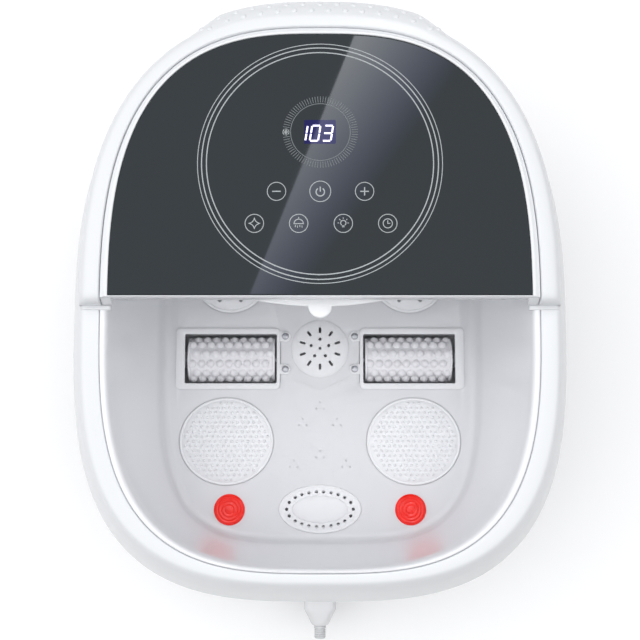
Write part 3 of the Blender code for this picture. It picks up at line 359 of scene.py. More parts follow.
def at(x, y, z, axis="Z"):
    return Matrix.Translation((x, y, z)) @ AXIS_TURN[axis]


def add_cylinder(bm, radius, low, high, matrix, steps=32, top=None):
    top = radius if top is None else top
    add_turned(bm, [(0, high), (top, high), (radius, low), (0, low)], matrix, steps)


def cylinder(*measures):
    bm = bmesh.new()
    add_cylinder(bm, *measures)
    return bm


def block(low, high):
    size = Vector(high) - Vector(low)
    centre = (Vector(high) + Vector(low)) / 2
    bm = bmesh.new()
    bmesh.ops.create_cube(bm, size=1.0, matrix=Matrix.Translation(centre) @ Matrix.Diagonal((*size, 1)))
    return bm


def rounded_rectangle(cx, cy, half_x, half_y, radius, z=0.0, per_corner=8):
    points = []
    for sx, sy, start in ((1, 1, 0), (-1, 1, 90), (-1, -1, 180), (1, -1, 270)):
        for k in range(per_corner + 1):
            a = math.radians(start + 90 * k / per_corner)
            points.append((cx + sx * (half_x - radius) + radius * math.cos(a),
                           cy + sy * (half_y - radius) + radius * math.sin(a), z))
    return points


def raised(ring, low, high, turn=Matrix.Identity(4)):
    """A plan ring at two heights, turned."""
    return [[turn @ Vector((x, y, z)) for x, y, _ in ring] for z in (low, high)]


def smooth_rows(rows, per_span):
    """Rows of numbers read from a Catmull-Rom curve through the given rows."""
    ends = [[2 * a - b for a, b in zip(rows[0], rows[1])]] + [list(r) for r in rows]
    ends.append([2 * a - b for a, b in zip(rows[-1], rows[-2])])
    made = []
    for i in range(len(rows) - 1):
        p0, p1, p2, p3 = ends[i:i + 4]
        for k in range(per_span):
            t = k / per_span
            made.append([0.5 * (2 * b + (c - a) * t + (2 * a - 5 * b + 4 * c - d) * t * t
                                + (3 * b - a - 3 * c + d) * t ** 3) for a, b, c, d in zip(p0, p1, p2, p3)])
    made.append(list(rows[-1]))
    return made


# ---------------------------------------------------------------- plan outlines
def signed_power(value, power):
    return math.copysign(abs(value) ** power, value)


def outline(z, half_x, front, rear, front_n=RIM_FRONT_N, rear_n=REAR_N):
    """Two half superellipses that meet, at their widest, on WIDEST_Y."""
    points = []
    for k in range(AROUND):
        a = 2 * math.pi * k / AROUND
        behind = math.sin(a) >= 0
        n = rear_n if behind else front_n
        depth = rear - WIDEST_Y if behind else WIDEST_Y - front
        points.append((half_x * signed_power(math.cos(a), 2 / n),
                       WIDEST_Y + depth * signed_power(math.sin(a), 2 / n), z))
    return points


def ellipse(cx, cy, rx, ry, z, count=64):
    angles = [2 * math.pi * k / count for k in range(count)]
    return [(cx + rx * math.cos(a), cy + ry * math.sin(a), z) for a in angles]


def grip_share(x):
    """How far the carrying grip stands out at this x, from 0 to 1."""
    share = max(0.0, min(1.0, (HANDLE_FADE - abs(x)) / (HANDLE_FADE - HANDLE_HALF)))
    return share * share * (3 - 2 * share)


def arc_points(half_x, rear, angles, bulge=0.0, n=REAR_N):
    points = []
    for a in angles:
        x = half_x * signed_power(math.cos(a), 2 / n)
        y = WIDEST_Y + (rear - WIDEST_Y) * math.sin(a) ** (2 / n)
        points.append((x, y + bulge * HANDLE_REACH * grip_share(x)))
    return points


def cover_angles(rear, front_y, near, count, n=REAR_N):
    """Stations round the rear half, crowded towards the two front ends at the given distances."""
    depth = rear - WIDEST_Y
    first = [math.asin(((front_y + d - WIDEST_Y) / depth) ** (n / 2)) for d in near]
    start = first[-1]
    middle = [start + (math.pi - 2 * start) * k / count for k in range(1, count)]
    return first + middle + [math.pi - a for a in reversed(first)]


# ---------------------------------------------------------------- casing and tub
CASING_SECTIONS = mm([  # height, half width, front, rear
    (6.5, 158, -168, 203), (28, 176.5, -187, 222), (60, 187.5, -198, 234), (100, 191, -201, 238.2),
    (145, 188.5, -198.5, 238.2), (180, 181, -189, 236.5), (195, 175, -182.6, 235.2),
])
CASING_T = 0.0028


def make_casing():
    """The flared outer shell, which turns in at the top as a softly crowned rim band."""
    top = RIM_Z * 1000
    rim = mm([(196.8, 174.1, -181.6, 234.9), (198.3, 173.1, -180.6, 234.5), (199.4, 171.7, -179.2, 233.8),
              (top, 169.8, -177.5, 232.8), (top, 166, -175.2, 230), (199.9, 161.2, -173.4, 225),
              (199.6, 159.8, -172.7, 223), (198.9, 159.3, -172.3, 222.4), (196.5, 159.2, -172.3, 222.3)])
    low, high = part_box("outer_casing")
    rows = [(z, min(x, high.x), max(front, low.y), min(rear, high.y))
            for z, x, front, rear in smooth_rows(CASING_SECTIONS, 8)] + rim
    rows += [(z, x - CASING_T, front + CASING_T, rear - CASING_T)
             for z, x, front, rear in reversed(smooth_rows(CASING_SECTIONS, 2))]
    rings = [outline(*row) for row in rows]
    casing = piece("casing_shell", ringed(rings, joined=True), WHITE, "outer_casing")
    middle, half = box_of("drain_spout")
    margin = 0.0004
    ring = rounded_rectangle(0, middle.z, half.x + margin, half.z + margin, 0.006)
    holes = ringed([[(x, y, z) for x, z, _ in ring] for y in (-0.24, -0.16)])
    middle, _ = box_of("mains_gland")
    add_cylinder(holes, 0.0074, -0.02, 0.02, at(middle.x, 0.232, middle.z, "Y"))
    cut(casing, holes)


TUB_INSIDE = [(*row, front_n) for row, front_n in zip(mm([  # height, half width, front, rear
    (50, 123, -151.5, 141.5), (50, 124, -152.5, 142.5), (50, 126.5, -155, 145), (50.3, 129, -157.3, 147),
    (52, 132.5, -160.5, 149.2), (55.5, 134.6, -162.2, 150.8), (60, 135.8, -162.8, 151.5),
    (80, 138.5, -164, 152.7), (120, 143.5, -165.7, 154.6), (155, 148, -166.8, 156.1),
    (185, 151.8, -167.8, 157.5), (195, 153.1, -168.3, 158.2),
]), [FLOOR_FRONT_N] * 5 + [3.95, 3.9, 3.75, 3.5, 3.3, RIM_FRONT_N, RIM_FRONT_N])]
TUB_LIP = mm([
    (197.5, 153.6, -168.7, 158.6), (199, 154.3, -169.2, 159.2), (199.9, 155.4, -170, 160),
    (200.3, 156.6, -170.8, 161.2), (200.2, 157.9, -171.3, 161.9), (199.7, 158.6, -171.8, 162.7),
    (198.8, 158.8, -171.9, 162.9), (196.2, 158.8, -171.9, 162.9), (196.2, 164.8, -175.9, 169),
    (193.7, 164.8, -175.9, 169), (193.7, 156.1, -170.3, 160.3),
])
TUB_T = 0.0025
STRAINER = (0.0, 0.0)
ROLLER_MIDDLE, ROLLER_HALF = box_of("massage_roller_left")
ROLLER_Y, ROLLER_Z, ROLLER_R = ROLLER_MIDDLE.y, ROLLER_MIDDLE.z, ROLLER_HALF.z
WELL_IN, WELL_OUT, WELL_HALF_Y = 0.0345, 0.1195, 0.0215
WELL_LOW = ROLLER_Z - ROLLER_R - 0.0015
DRAIN_Y = box_of("drain_sump_cover")[0].y
DRAIN_PIPE_Y = DRAIN_Y - 0.004
LAMP_MIDDLE, LAMP_HALF = box_of("lamp_lens_right")
FRAME_SCREWS = [(side * 0.0295, y) for side in (-1, 1) for y in (0.0105, -0.0175)]
BUBBLE_HOLES = [(x + dx, y + dy)
                for x, y in mm([(0, -49), (-14.5, -63), (14.5, -63), (0, -90), (-22, -98), (22, -98)])
                for dx, dy in mm([(0, 3.4), (-3.2, -2), (3.2, -2)])]


def well_ring(side, grow, z):
    middle = side * (WELL_IN + WELL_OUT) / 2
    return rounded_rectangle(middle, ROLLER_Y, (WELL_OUT - WELL_IN) / 2 + grow, WELL_HALF_Y + grow,
                             0.003 + grow, z, 5)


def make_tub():
    """The bowl: floor, filleted walls and a rolled lip; wells, sumps and holes are cut in its floor."""
    low = FLOOR_Z - TUB_T
    rows = smooth_rows(TUB_INSIDE, 4) + [(*row, RIM_FRONT_N) for row in TUB_LIP]
    rows += [(z - 0.0015, x + TUB_T, front - TUB_T, rear + TUB_T, n)
             for z, x, front, rear, n in reversed(TUB_INSIDE) if 0.053 < z < 0.19]
    rows += [(low + 0.0012, 0.1325, -0.1605, 0.1500, FLOOR_FRONT_N),
             (low, 0.1290, -0.1573, 0.1472, FLOOR_FRONT_N)]
    tub = piece("tub_shell", ringed([outline(*row, TUB_REAR_N) for row in rows]), TUB, "inner_tub")
    inside_floor = FLOOR_Z - 0.001
    walls = bmesh.new()
    for side, _ in SIDES:
        add_rings(walls, [well_ring(side, 0.002, WELL_LOW - 0.002), well_ring(side, 0.002, inside_floor)])
    add_cylinder(walls, 0.0245, 0.0400, inside_floor, at(*STRAINER, 0), 48)
    add_cylinder(walls, 0.0040, 0.0320, 0.0405, at(0, 0.0175, 0), 24)
    add_rings(walls, [ellipse(0, DRAIN_Y, 0.0315, 0.0165, z) for z in (0.0405, inside_floor)])
    join(tub, walls)
    ridge = bmesh.new()
    add_ribbon(ridge, mm([(-23.5, -26.5), (0, -36), (23.5, -26.5)]), 0.0018, FLOOR_Z - 0.0008,
               FLOOR_Z + 0.0008)
    join(tub, ridge)
    join(tub, cylinder(0.0055, 0.0376, 0.0416, at(0, DRAIN_PIPE_Y, 0), 24))
    holes = bmesh.new()
    above = FLOOR_Z + 0.010
    for side, _ in SIDES:
        add_rings(holes, [well_ring(side, grow, z) for grow, z in (
            (0.0, WELL_LOW), (0.0, inside_floor - 0.0005), (0.0008, FLOOR_Z - 0.0004),
            (0.0022, FLOOR_Z + 0.0003), (0.0022, above))])
        lamp = at(side * LAMP_MIDDLE.x, LAMP_MIDDLE.y, 0)
        add_cylinder(holes, LAMP_HALF.x - 0.0015, 0.040, above, lamp, 40)
    add_cylinder(holes, 0.0225, 0.0420, above, at(*STRAINER, 0), 48)
    add_rings(holes, [ellipse(0, DRAIN_Y, 0.0295, 0.0145, z) for z in (0.0425, above)])
    for x, y in FRAME_SCREWS:
        add_cylinder(holes, 0.0018, 0.040, above, at(x, y, 0), 16)
    for x, y in BUBBLE_HOLES:
        add_cylinder(holes, 0.0009, 0.0485, above, at(x, y, 0), 10)
    add_cylinder(holes, 0.0060, -0.015, 0.015, at(0.040, 0.155, 0.178, "Y"), 32)
    cut(tub, holes)
    groove_low = FLOOR_Z - 0.0010
    for disc in ("sole_disc_left", "toe_disc_left", "sole_disc_right", "toe_disc_right"):
        middle, half = box_of(disc)
        rings = [ellipse(middle.x, middle.y, half.x + grow, half.y + grow, z, 96) for grow, z in (
            (-0.0002, groove_low), (0.0008, groove_low), (0.0010, above), (-0.0004, above))]
        cut(tub, ringed(rings, joined=True))
    bores = cylinder(0.0026, 0.025, 0.0425, at(0, 0.0175, 0), 16)
    add_cylinder(bores, 0.0038, 0.030, 0.0430, at(0, DRAIN_PIPE_Y, 0), 16)
    for side, _ in SIDES:
        seal = at(side * (WELL_IN - 0.001), ROLLER_Y, ROLLER_Z, "X")
        add_cylinder(bores, 0.0058, -0.003, 0.003, seal, 24)
    cut(tub, bores)


# ---------------------------------------------------------------- base plate, feet and screws
BASE_LOW, BASE_HIGH = 0.0068, 0.0093
FOOT_NODES = [f"rubber_foot_{end}_{side}" for end in ("front", "rear") for side in ("left", "right")]
BASE_SCREWS = {1: (-0.135, -0.045), 2: (0.135, -0.045), 3: (-0.138, 0.075), 4: (0.138, 0.075)}


def make_base():
    """The bottom plate with pillars, vent slots and screw recesses, and four ringed rubber feet."""
    rings = [outline(z, 0.1545 - inset, -0.1645 + inset, 0.1995 - inset) for z, inset in (
        (BASE_LOW, 0.0012), (BASE_LOW + 0.0004, 0.0003), (BASE_LOW + 0.0010, 0.0),
        (BASE_HIGH - 0.0004, 0.0), (BASE_HIGH, 0.0005))]
    base = piece("base_plate_detailed", ringed(rings), GREY, "base_plate")
    posts = bmesh.new()
    for x, y in mm([(-98, -55), (98, -55), (-98, 95), (98, 95), (0, -85)]):
        add_cylinder(posts, 0.0056, BASE_LOW + 0.001, 0.0472, at(x, y, 0), 20, 0.0048)
    join(base, posts)
    holes = bmesh.new()
    for side, _ in SIDES:
        for k in range(9):
            slit = rounded_rectangle(side * 0.036, 0.130 + 0.0050 * k, 0.017, 0.0011, 0.00105, 0, 4)
            add_rings(holes, raised(slit, 0.005, 0.012))
    for x, y in BASE_SCREWS.values():
        add_cylinder(holes, 0.0022, 0.0, 0.02, at(x, y, 0), 16)
    feet = [(name, at(box_of(name)[0].x, box_of(name)[0].y, 0)) for name in FOOT_NODES]
    groove = mm([(13.1, -1), (13.1, 0.6), (13.6, 0.6), (13.6, -1)])
    for _, place in feet:
        add_turned(holes, groove, place @ at(0, 0, BASE_LOW), 40, closed=True)
    cut(base, holes)
    profile = mm([(0, 6.4), (12.1, 6.4), (12.4, 6.1), (12.5, 5), (12.2, 4.6), (12.4, 4.2), (12.4, 2.2),
                  (12.1, 1), (11.5, 0.3), (10.7, 0), (9, 0), (8.6, 0.6), (7.8, 0.6), (7.4, 0), (5.6, 0),
                  (5.2, 0.6), (4.4, 0.6), (4, 0), (1.8, 0), (1.4, 1.2), (0, 1.2)])
    for name, place in feet:
        piece(name + "_ringed", turned(profile, place, 44), RUBBER, name)


def make_screw(name, place, radius, crown, shank, length, up):
    """A pan-head screw with a cross recess; up is 1 or -1 for the way its head faces."""
    turn = Matrix.Translation(place) @ (Matrix.Identity(4) if up > 0 else Matrix.Rotation(math.pi, 4, "X"))
    profile = [(0, crown), (radius * 0.45, crown * 0.97), (radius * 0.78, crown * 0.76),
               (radius * 0.95, crown * 0.42), (radius, crown * 0.1), (radius * 0.98, 0), (shank, 0),
               (shank, -length * 0.9), (shank * 0.5, -length), (0, -length)]
    screw = piece(name + "_cross", turned(profile, turn, 28), STEEL, name)
    arm, half = radius * 0.58, radius * 0.12
    for x, y in ((arm, half), (half, arm)):
        recess = block((-x, -y, crown * 0.35), (x, y, crown + 0.001))
        bmesh.ops.transform(recess, matrix=turn, verts=recess.verts)
        cut(screw, recess)


def make_screws():
    for k, (x, y) in BASE_SCREWS.items():
        make_screw(f"base_screw_{k}", (x, y, BASE_LOW - 0.0003), 0.0036, 0.0020, 0.0018, 0.0070, -1)
    for k, (x, y) in enumerate(FRAME_SCREWS):
        make_screw(f"frame_screw_{k + 1}", (x, y, FLOOR_Z + 0.0026), 0.0030, 0.0016, 0.0014, 0.0065, 1)


# ---------------------------------------------------------------- rollers
def add_nub(bm, matrix, radius, height, steps=12, sink=0.0006):
    """A small domed peg standing on the matrix's plane."""
    profile = [(0, height), (radius * 0.38, height * 0.95), (radius * 0.68, height * 0.76),
               (radius * 0.90, height * 0.42), (radius, 0), (radius * 1.02, -sink), (0, -sink)]
    add_turned(bm, profile, matrix, steps)


def make_rollers():
    """Each roller: a core with end flanges, and twelve staggered rows of massage pegs."""
    bore = 0.0033
    core = ROLLER_R - 0.0034
    rows, pegs, pitch = 12, 9, 0.00775
    for side, label in SIDES:
        name = f"massage_roller_{label}"
        middle, half = box_of(name)
        end = half.x
        profile = [(bore, end), (core * 0.55, end), (core * 0.60, end - 0.0009),
                   (core * 0.86, end - 0.0009), (core * 0.90, end), (core + 0.0012, end),
                   (core + 0.0018, end - 0.0006), (core + 0.0018, end - 0.0016),
                   (core + 0.0010, end - 0.0022), (core, end - 0.0024)]
        profile += [(r, -z) for r, z in reversed(profile)]
        axis = at(middle.x, ROLLER_Y, ROLLER_Z, "X")
        bm = turned(profile, axis, 60, closed=True)
        for row in range(rows):
            shift = 0.25 if row % 2 else -0.25
            turn = axis @ Matrix.Rotation(2 * math.pi * (row + 0.5) / rows, 4, "Z")
            for k in range(pegs):
                along = (k - (pegs - 1) / 2 + shift) * pitch
                add_nub(bm, turn @ at(core - 0.0002, 0, along, "X"), 0.0036, 0.0034, 14)
        piece(f"{name}_pegged", bm, ROLLER, name, "rollers", sharp=40)
        make_roller_frame(side, f"roller_frame_{label}")


def make_roller_frame(side, name):
    """The frame round a roller well: a soft-edged window, two screw ears and the bearing lug."""
    low_z = FITTING_LOW
    high_z = low_z + 0.0020
    edge = 0.0006

    def loop(x0, x1, half_y, radius, inset, z):
        return rounded_rectangle(side * (x0 + x1) / 2, ROLLER_Y, (x1 - x0) / 2 - inset, half_y - inset,
                                 radius - inset, z)

    def outer(inset, z):
        return loop(0.034, 0.1225, 0.0260, 0.0035, inset, z)

    def window(inset, z):
        return loop(0.0368, 0.1150, 0.0210, 0.0015, inset, z)

    rings = [outer(0, low_z), outer(0, high_z - edge), outer(edge * 0.3, high_z - edge * 0.3),
             outer(edge, high_z), window(-edge, high_z), window(-edge * 0.3, high_z - edge * 0.3),
             window(0, high_z - edge), window(0, low_z)]
    made = piece(name + "_rounded", ringed(rings, joined=True), FITTING, name)
    screws = [(x, y) for x, y in FRAME_SCREWS if x * side > 0]
    for x, y in screws:
        join(made, turned([(0, high_z - 0.0001), (0.0038, high_z - 0.0001), (0.0043, high_z - 0.0004),
                           (0.0045, high_z - 0.0009), (0.0045, low_z + 0.0001), (0, low_z + 0.0001)],
                          at(x, y, 0), 36))
        near, far = sorted((x, side * 0.0362))
        join(made, block((near, y - 0.0041, low_z + 0.0002), (far, y + 0.0041, high_z - 0.0003)))
    near, far = sorted((side * 0.1150, side * 0.1180))
    join(made, block((near, ROLLER_Y - 0.0065, ROLLER_Z - 0.0060), (far, ROLLER_Y + 0.0065, low_z + 0.001)))
    holes = cylinder(0.0033, -0.004, 0.004, at(side * 0.1165, ROLLER_Y, ROLLER_Z, "X"), 24)
    for x, y in screws:
        add_cylinder(holes, 0.0018, low_z - 0.005, high_z + 0.005, at(x, y, 0), 20)
    cut(made, holes)


# ---------------------------------------------------------------- fittings on the floor
def make_strainer():
    """The perforated cap over the intake: a dome with a rolled edge, round holes and radial slots."""
    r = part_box("strainer_cap")[1].x * 1000
    profile = mm([(0, 4.5), (6, 4.35), (12, 3.9), (18, 3), (21.5, 2), (23.2, 1.2), (24.1, 0.7), (r, 0.3),
                  (r - 0.1, 0), (21.5, 0), (21.5, -4.6), (21.2, -5), (20.2, -5), (20, -4.6), (20, 0.8),
                  (12, 2), (0, 2.5)])
    bm = turned(profile, at(*STRAINER, FITTING_LOW), 72)
    cap = piece("strainer_cap_domed", bm, FITTING, "strainer_cap", "strainer", sharp=28)
    below, above = 0.045, 0.060
    holes = cylinder(0.0013, below, above, at(0, 0, 0), 16)
    for k in range(5):
        a = 2 * math.pi * (k + 0.25) / 5
        add_cylinder(holes, 0.0014, below, above, at(0.0078 * math.cos(a), 0.0078 * math.sin(a), 0), 16)
    slit = rounded_rectangle(0.0155, 0, 0.0026, 0.0011, 0.00108, 0, 5)
    for k in range(10):
        add_rings(holes, raised(slit, below, above, Matrix.Rotation(2 * math.pi * (k + 0.5) / 10, 4, "Z")))
    cut(cap, holes, 28)


def dome_height(share):
    """Height of a domed plate at a share of its radius, 1 in the middle and 0 at the edge."""
    return max(0.0, 1 - share ** 2.6)


def make_sole_disc(name):
    """A domed sole plate covered in fine nubs."""
    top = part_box(name)[1].z
    middle, half = box_of(name)
    rim_z, rise = FITTING_LOW + 0.0014, 0.0019
    rings = [(0, 0, FITTING_LOW), (0, 0, rim_z - 0.0005), (0.0003, 0.0003, rim_z - 0.0001),
             (0.0010, 0.0010, rim_z), (0.0018, 0.0018, rim_z - 0.0003)]
    for share in (0.93, 0.88, 0.80, 0.70, 0.55, 0.40, 0.25, 0.10):
        rings.append((half.x * (1 - share), half.y * (1 - share), rim_z + rise * dome_height(share)))
    bm = ringed([ellipse(middle.x, middle.y, half.x - ix, half.y - iy, z, 96) for ix, iy, z in rings])
    pitch = 0.0046
    row_pitch = pitch * 0.866
    rows = int(half.y / row_pitch)
    for row in range(-rows, rows + 1):
        for k in range(-10, 11):
            x = (k + (0.5 if row % 2 else 0.0)) * pitch
            y = row * row_pitch
            share = math.hypot(x / half.x, y / half.y)
            if share < 0.90:
                z = rim_z + rise * dome_height(share)
                add_nub(bm, at(middle.x + x, middle.y + y, z), 0.00138, min(0.0018, top - z), 9, 0.0003)
    piece(name + "_nubbed", bm, FITTING, name, sharp=40)


def make_toe_disc(name):
    """A slotted toe plate with a ringed edge."""
    middle, half = box_of(name)
    r, top = half.x * 1000, 1000 * (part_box(name)[1].z - FITTING_LOW)
    profile = mm([(0, top), (4, top - 0.1), (10, top - 0.8), (18, top - 1.8), (24, top - 3.1),
                  (28.5, top - 4.7), (29.7, top - 5.3), (30.3, top - 5.1), (31.2, top - 5.5),
                  (r, top - 6.1), (r, 0), (28.5, 0), (18, 2), (0, 3.6)])
    place = at(middle.x, middle.y, 0)
    bm = turned(profile, place @ at(0, 0, FITTING_LOW), 72)
    toe = piece(name + "_slotted", bm, FITTING, name, sharp=28)
    slit = rounded_rectangle(0.0186, 0, 0.0066, 0.0015, 0.00145, 0, 5)
    holes = bmesh.new()
    for k in range(8):
        turn = place @ Matrix.Rotation(2 * math.pi * (k + 0.5) / 8, 4, "Z")
        add_rings(holes, raised(slit, 0.045, 0.062, turn))
    cut(toe, holes, 28)


def make_discs():
    for _, label in SIDES:
        make_sole_disc(f"sole_disc_{label}")
        make_toe_disc(f"toe_disc_{label}")


def make_lamps():
    """Red lenses with stepped prism rings and faceted edges, glowing from the lamps under them."""
    for _, label in SIDES:
        name = f"lamp_lens_{label}"
        middle, half = box_of(name)
        r = half.x * 1000
        profile = mm([(0, 4), (1.8, 3.9), (3.4, 3.5), (3.6, 3), (5, 3.4), (6.4, 3), (6.6, 2.5), (8, 2.9),
                      (9.2, 2.4), (9.4, 1.9), (10.6, 2.2), (11.6, 1.8), (12.5, 1.1), (r, 0.6), (r, 0),
                      (r - 1.9, 0), (r - 1.9, -7), (r - 3.2, -7), (r - 3.2, -0.5), (0, 1.2)])
        place = at(middle.x, middle.y, FITTING_LOW)
        piece(name + "_prismatic", turned(profile, place, 60), LENS, name, sharp=18)


def make_drain_cover():
    """The oval cover of the drain sump: a rimmed plate, a ring of holes and a raised oval middle."""
    half = box_of("drain_sump_cover")[1]
    top = 1000 * (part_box("drain_sump_cover")[1].z - FITTING_LOW)
    steps = mm([(0, 0, 0), (0, 0, 0.9), (0.3, 0.3, 1.3), (1, 1, 1.5), (1.8, 1.8, 1.3), (3, 3, 1.6),
                (11, 8.5, 2.4), (11.6, 9, 3), (12.4, 9.7, 3.4), (17, 12.5, top - 0.2), (26, 16.5, top)])
    bm = ringed([ellipse(0, DRAIN_Y, half.x - ix, half.y - iy, FITTING_LOW + z, 88) for ix, iy, z in steps])
    cover = piece("drain_sump_cover_rimmed", bm, FITTING, "drain_sump_cover", sharp=30)
    ring = ellipse(0, DRAIN_Y, half.x - 0.0066, half.y - 0.0054, 0, 240)
    lengths = [0.0]
    for a, b in zip(ring, ring[1:] + ring[:1]):
        lengths.append(lengths[-1] + math.dist(a, b))
    count = 22
    holes = bmesh.new()
    for k in range(count):
        goal = lengths[-1] * k / count
        i = min(range(len(ring)), key=lambda n: abs(lengths[n] - goal))
        add_cylinder(holes, 0.0014, 0.045, 0.060, at(ring[i][0], ring[i][1], 0), 14)
    cut(cover, holes, 30)


# ---------------------------------------------------------------- control cover
BAND_CROWN = smooth_rows([  # share of the band's width from the seam outwards, drop below the top
    [0.0, -0.0010], [0.02, -0.00035], [0.08, -0.00005], [0.25, -0.00002], [0.45, -0.0003], [0.60, -0.0009],
    [0.72, -0.0019], [0.84, -0.0037], [0.93, -0.0062], [0.985, -0.0092], [1.0, -0.0112]], 3)
GRIP_SLOPE = [(share, max(0.0, fall)) for share, fall in smooth_rows([
    [0.0, 0.0], [0.36, 0.0], [0.45, 0.0006], [0.60, 0.0013], [0.72, 0.0017], [0.84, 0.0019], [0.93, 0.0016],
    [0.985, 0.0007], [1.0, 0.0]], 3)]
END_DROP = mm([(0, 7.8), (0.3, 5.6), (1, 3.8), (2.2, 2.2), (4, 1), (6.2, 0.3), (8.5, 0)])


def read_curve(curve, share):
    """The value of a curve of (share, value) rows at a share."""
    for (s0, v0), (s1, v1) in zip(curve, curve[1:]):
        if share <= s1:
            break
    return v0 + (v1 - v0) * (share - s0) / (s1 - s0)


def rear_edge(x, half_x, rear, n):
    """The y of a rear outline at this x."""
    return WIDEST_Y + (rear - WIDEST_Y) * (1 - (abs(x) / half_x) ** n) ** (1 / n)


def band_point(x, share):
    """A point on the band's crown at this x, and the surface's normal there."""
    def place(px, s):
        inner_y = rear_edge(px, PANEL_SEAM_X, PANEL_SEAM_REAR, PANEL_SEAM_N)
        outer_y = rear_edge(px, COVER_OUTER_X, COVER_OUTER_REAR, REAR_N)
        outer_y += HANDLE_REACH * grip_share(px)
        depth = read_curve(BAND_CROWN, s) - grip_share(px) * read_curve(GRIP_SLOPE, s)
        return Vector((px, inner_y + (outer_y - inner_y) * s, COVER_TOP + depth))
    along = place(x + 0.001, share) - place(x - 0.001, share)
    across = place(x, min(share + 0.02, 0.999)) - place(x, share - 0.02)
    normal = along.cross(across)
    if normal.z < 0:
        normal = -normal
    return place(x, share), normal.normalized()


def make_rear_housing():
    """The white band round the panel, hollow below, which widens at the rear into a nubbed grip."""
    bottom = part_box("rear_housing")[0].z
    channel = [(share, COVER_TOP - depth) for share, depth in (
        (0.82, 0.0096), (0.78, 0.0076), (0.68, 0.0050), (0.40, 0.0036), (0.21, 0.0034), (0.17, 0.0044))]
    solid = 0.0045
    near = [distance for distance, _ in END_DROP]
    angles = cover_angles(PANEL_SEAM_REAR, HOUSING_FRONT_Y, near, 168, PANEL_SEAM_N)
    inner = arc_points(PANEL_SEAM_X, PANEL_SEAM_REAR, angles, n=PANEL_SEAM_N)
    angles = cover_angles(COVER_OUTER_REAR, HOUSING_FRONT_Y, near, 168)
    outer = arc_points(COVER_OUTER_X, COVER_OUTER_REAR, angles, 1.0)
    rings = []
    for k, ((ix, iy), (ox, oy)) in enumerate(zip(inner, outer)):
        from_end = min(k, len(inner) - 1 - k)
        lower = END_DROP[from_end][1] if from_end < len(END_DROP) else 0.0
        ring = [(0.0, COVER_LOW)]
        ring += [(s, COVER_TOP + min(0.0, d) - lower - grip_share(ox) * read_curve(GRIP_SLOPE, s))
                 for s, d in BAND_CROWN]
        ring += [(1.0, bottom + 0.0005), (0.985, bottom), (0.82, bottom)]
        if iy > HOUSING_FRONT_Y + solid:
            ring += channel
        else:
            ring += [(s, bottom) for s, _ in channel[:-2]] + [(0.24, bottom), (0.24, COVER_LOW)]
        ring.append((0.17, COVER_LOW))
        rings.append([(ix + (ox - ix) * s, iy + (oy - iy) * s, z) for s, z in ring])
    bm = ringed(rings)
    pitch = 0.0124
    for share, shift in ((0.555, 0.5), (0.82, 0.0)):
        for k in range(-8, 9):
            x = (k + shift) * pitch
            if abs(x) <= 0.088:
                place, normal = band_point(x, share)
                turn = normal.to_track_quat("Z", "Y").to_matrix().to_4x4()
                add_nub(bm, Matrix.Translation(place) @ turn, 0.0021, 0.00085, 16, 0.0003)
    piece("rear_housing_band", bm, WHITE, "rear_housing", sharp=40)
    make_band_feet()


def make_band_feet():
    """A low rounded bar across the rim and the tub's lip, under each front end of the band."""
    crest = mm([(150.6, 199.4), (151, 200.3), (152, 200.9), (170, 201.1), (171.4, 200.6), (172.4, 199.7),
                (173.1, 198.6), (173.3, 197.4)])
    half_depth, square, drop = 0.0018, 0.35, 0.0022
    middle_y = HOUSING_FRONT_Y + 0.0004 - half_depth
    bow = [(middle_y + half_depth * signed_power(math.cos(a), square),
            drop * (1 - max(0.0, math.sin(a)) ** square)) for a in (math.pi * k / 12 for k in range(13))]
    for side, label in SIDES:
        rings = [[(side * x, y, top - fall) for y, fall in bow] for x, top in crest]
        piece(f"rear_housing_foot_{label}", ringed(rings), WHITE, sharp=40)


def cover_ring(half_x, rear, front_y, z, n=PANEL_SEAM_N, count=150):
    """A D outline at one height: the rear arc, closed by the straight front edge."""
    angles = cover_angles(rear, front_y, [0.0], count, n)
    return [(x, y, z) for x, y in arc_points(half_x, rear, angles, n=n)]


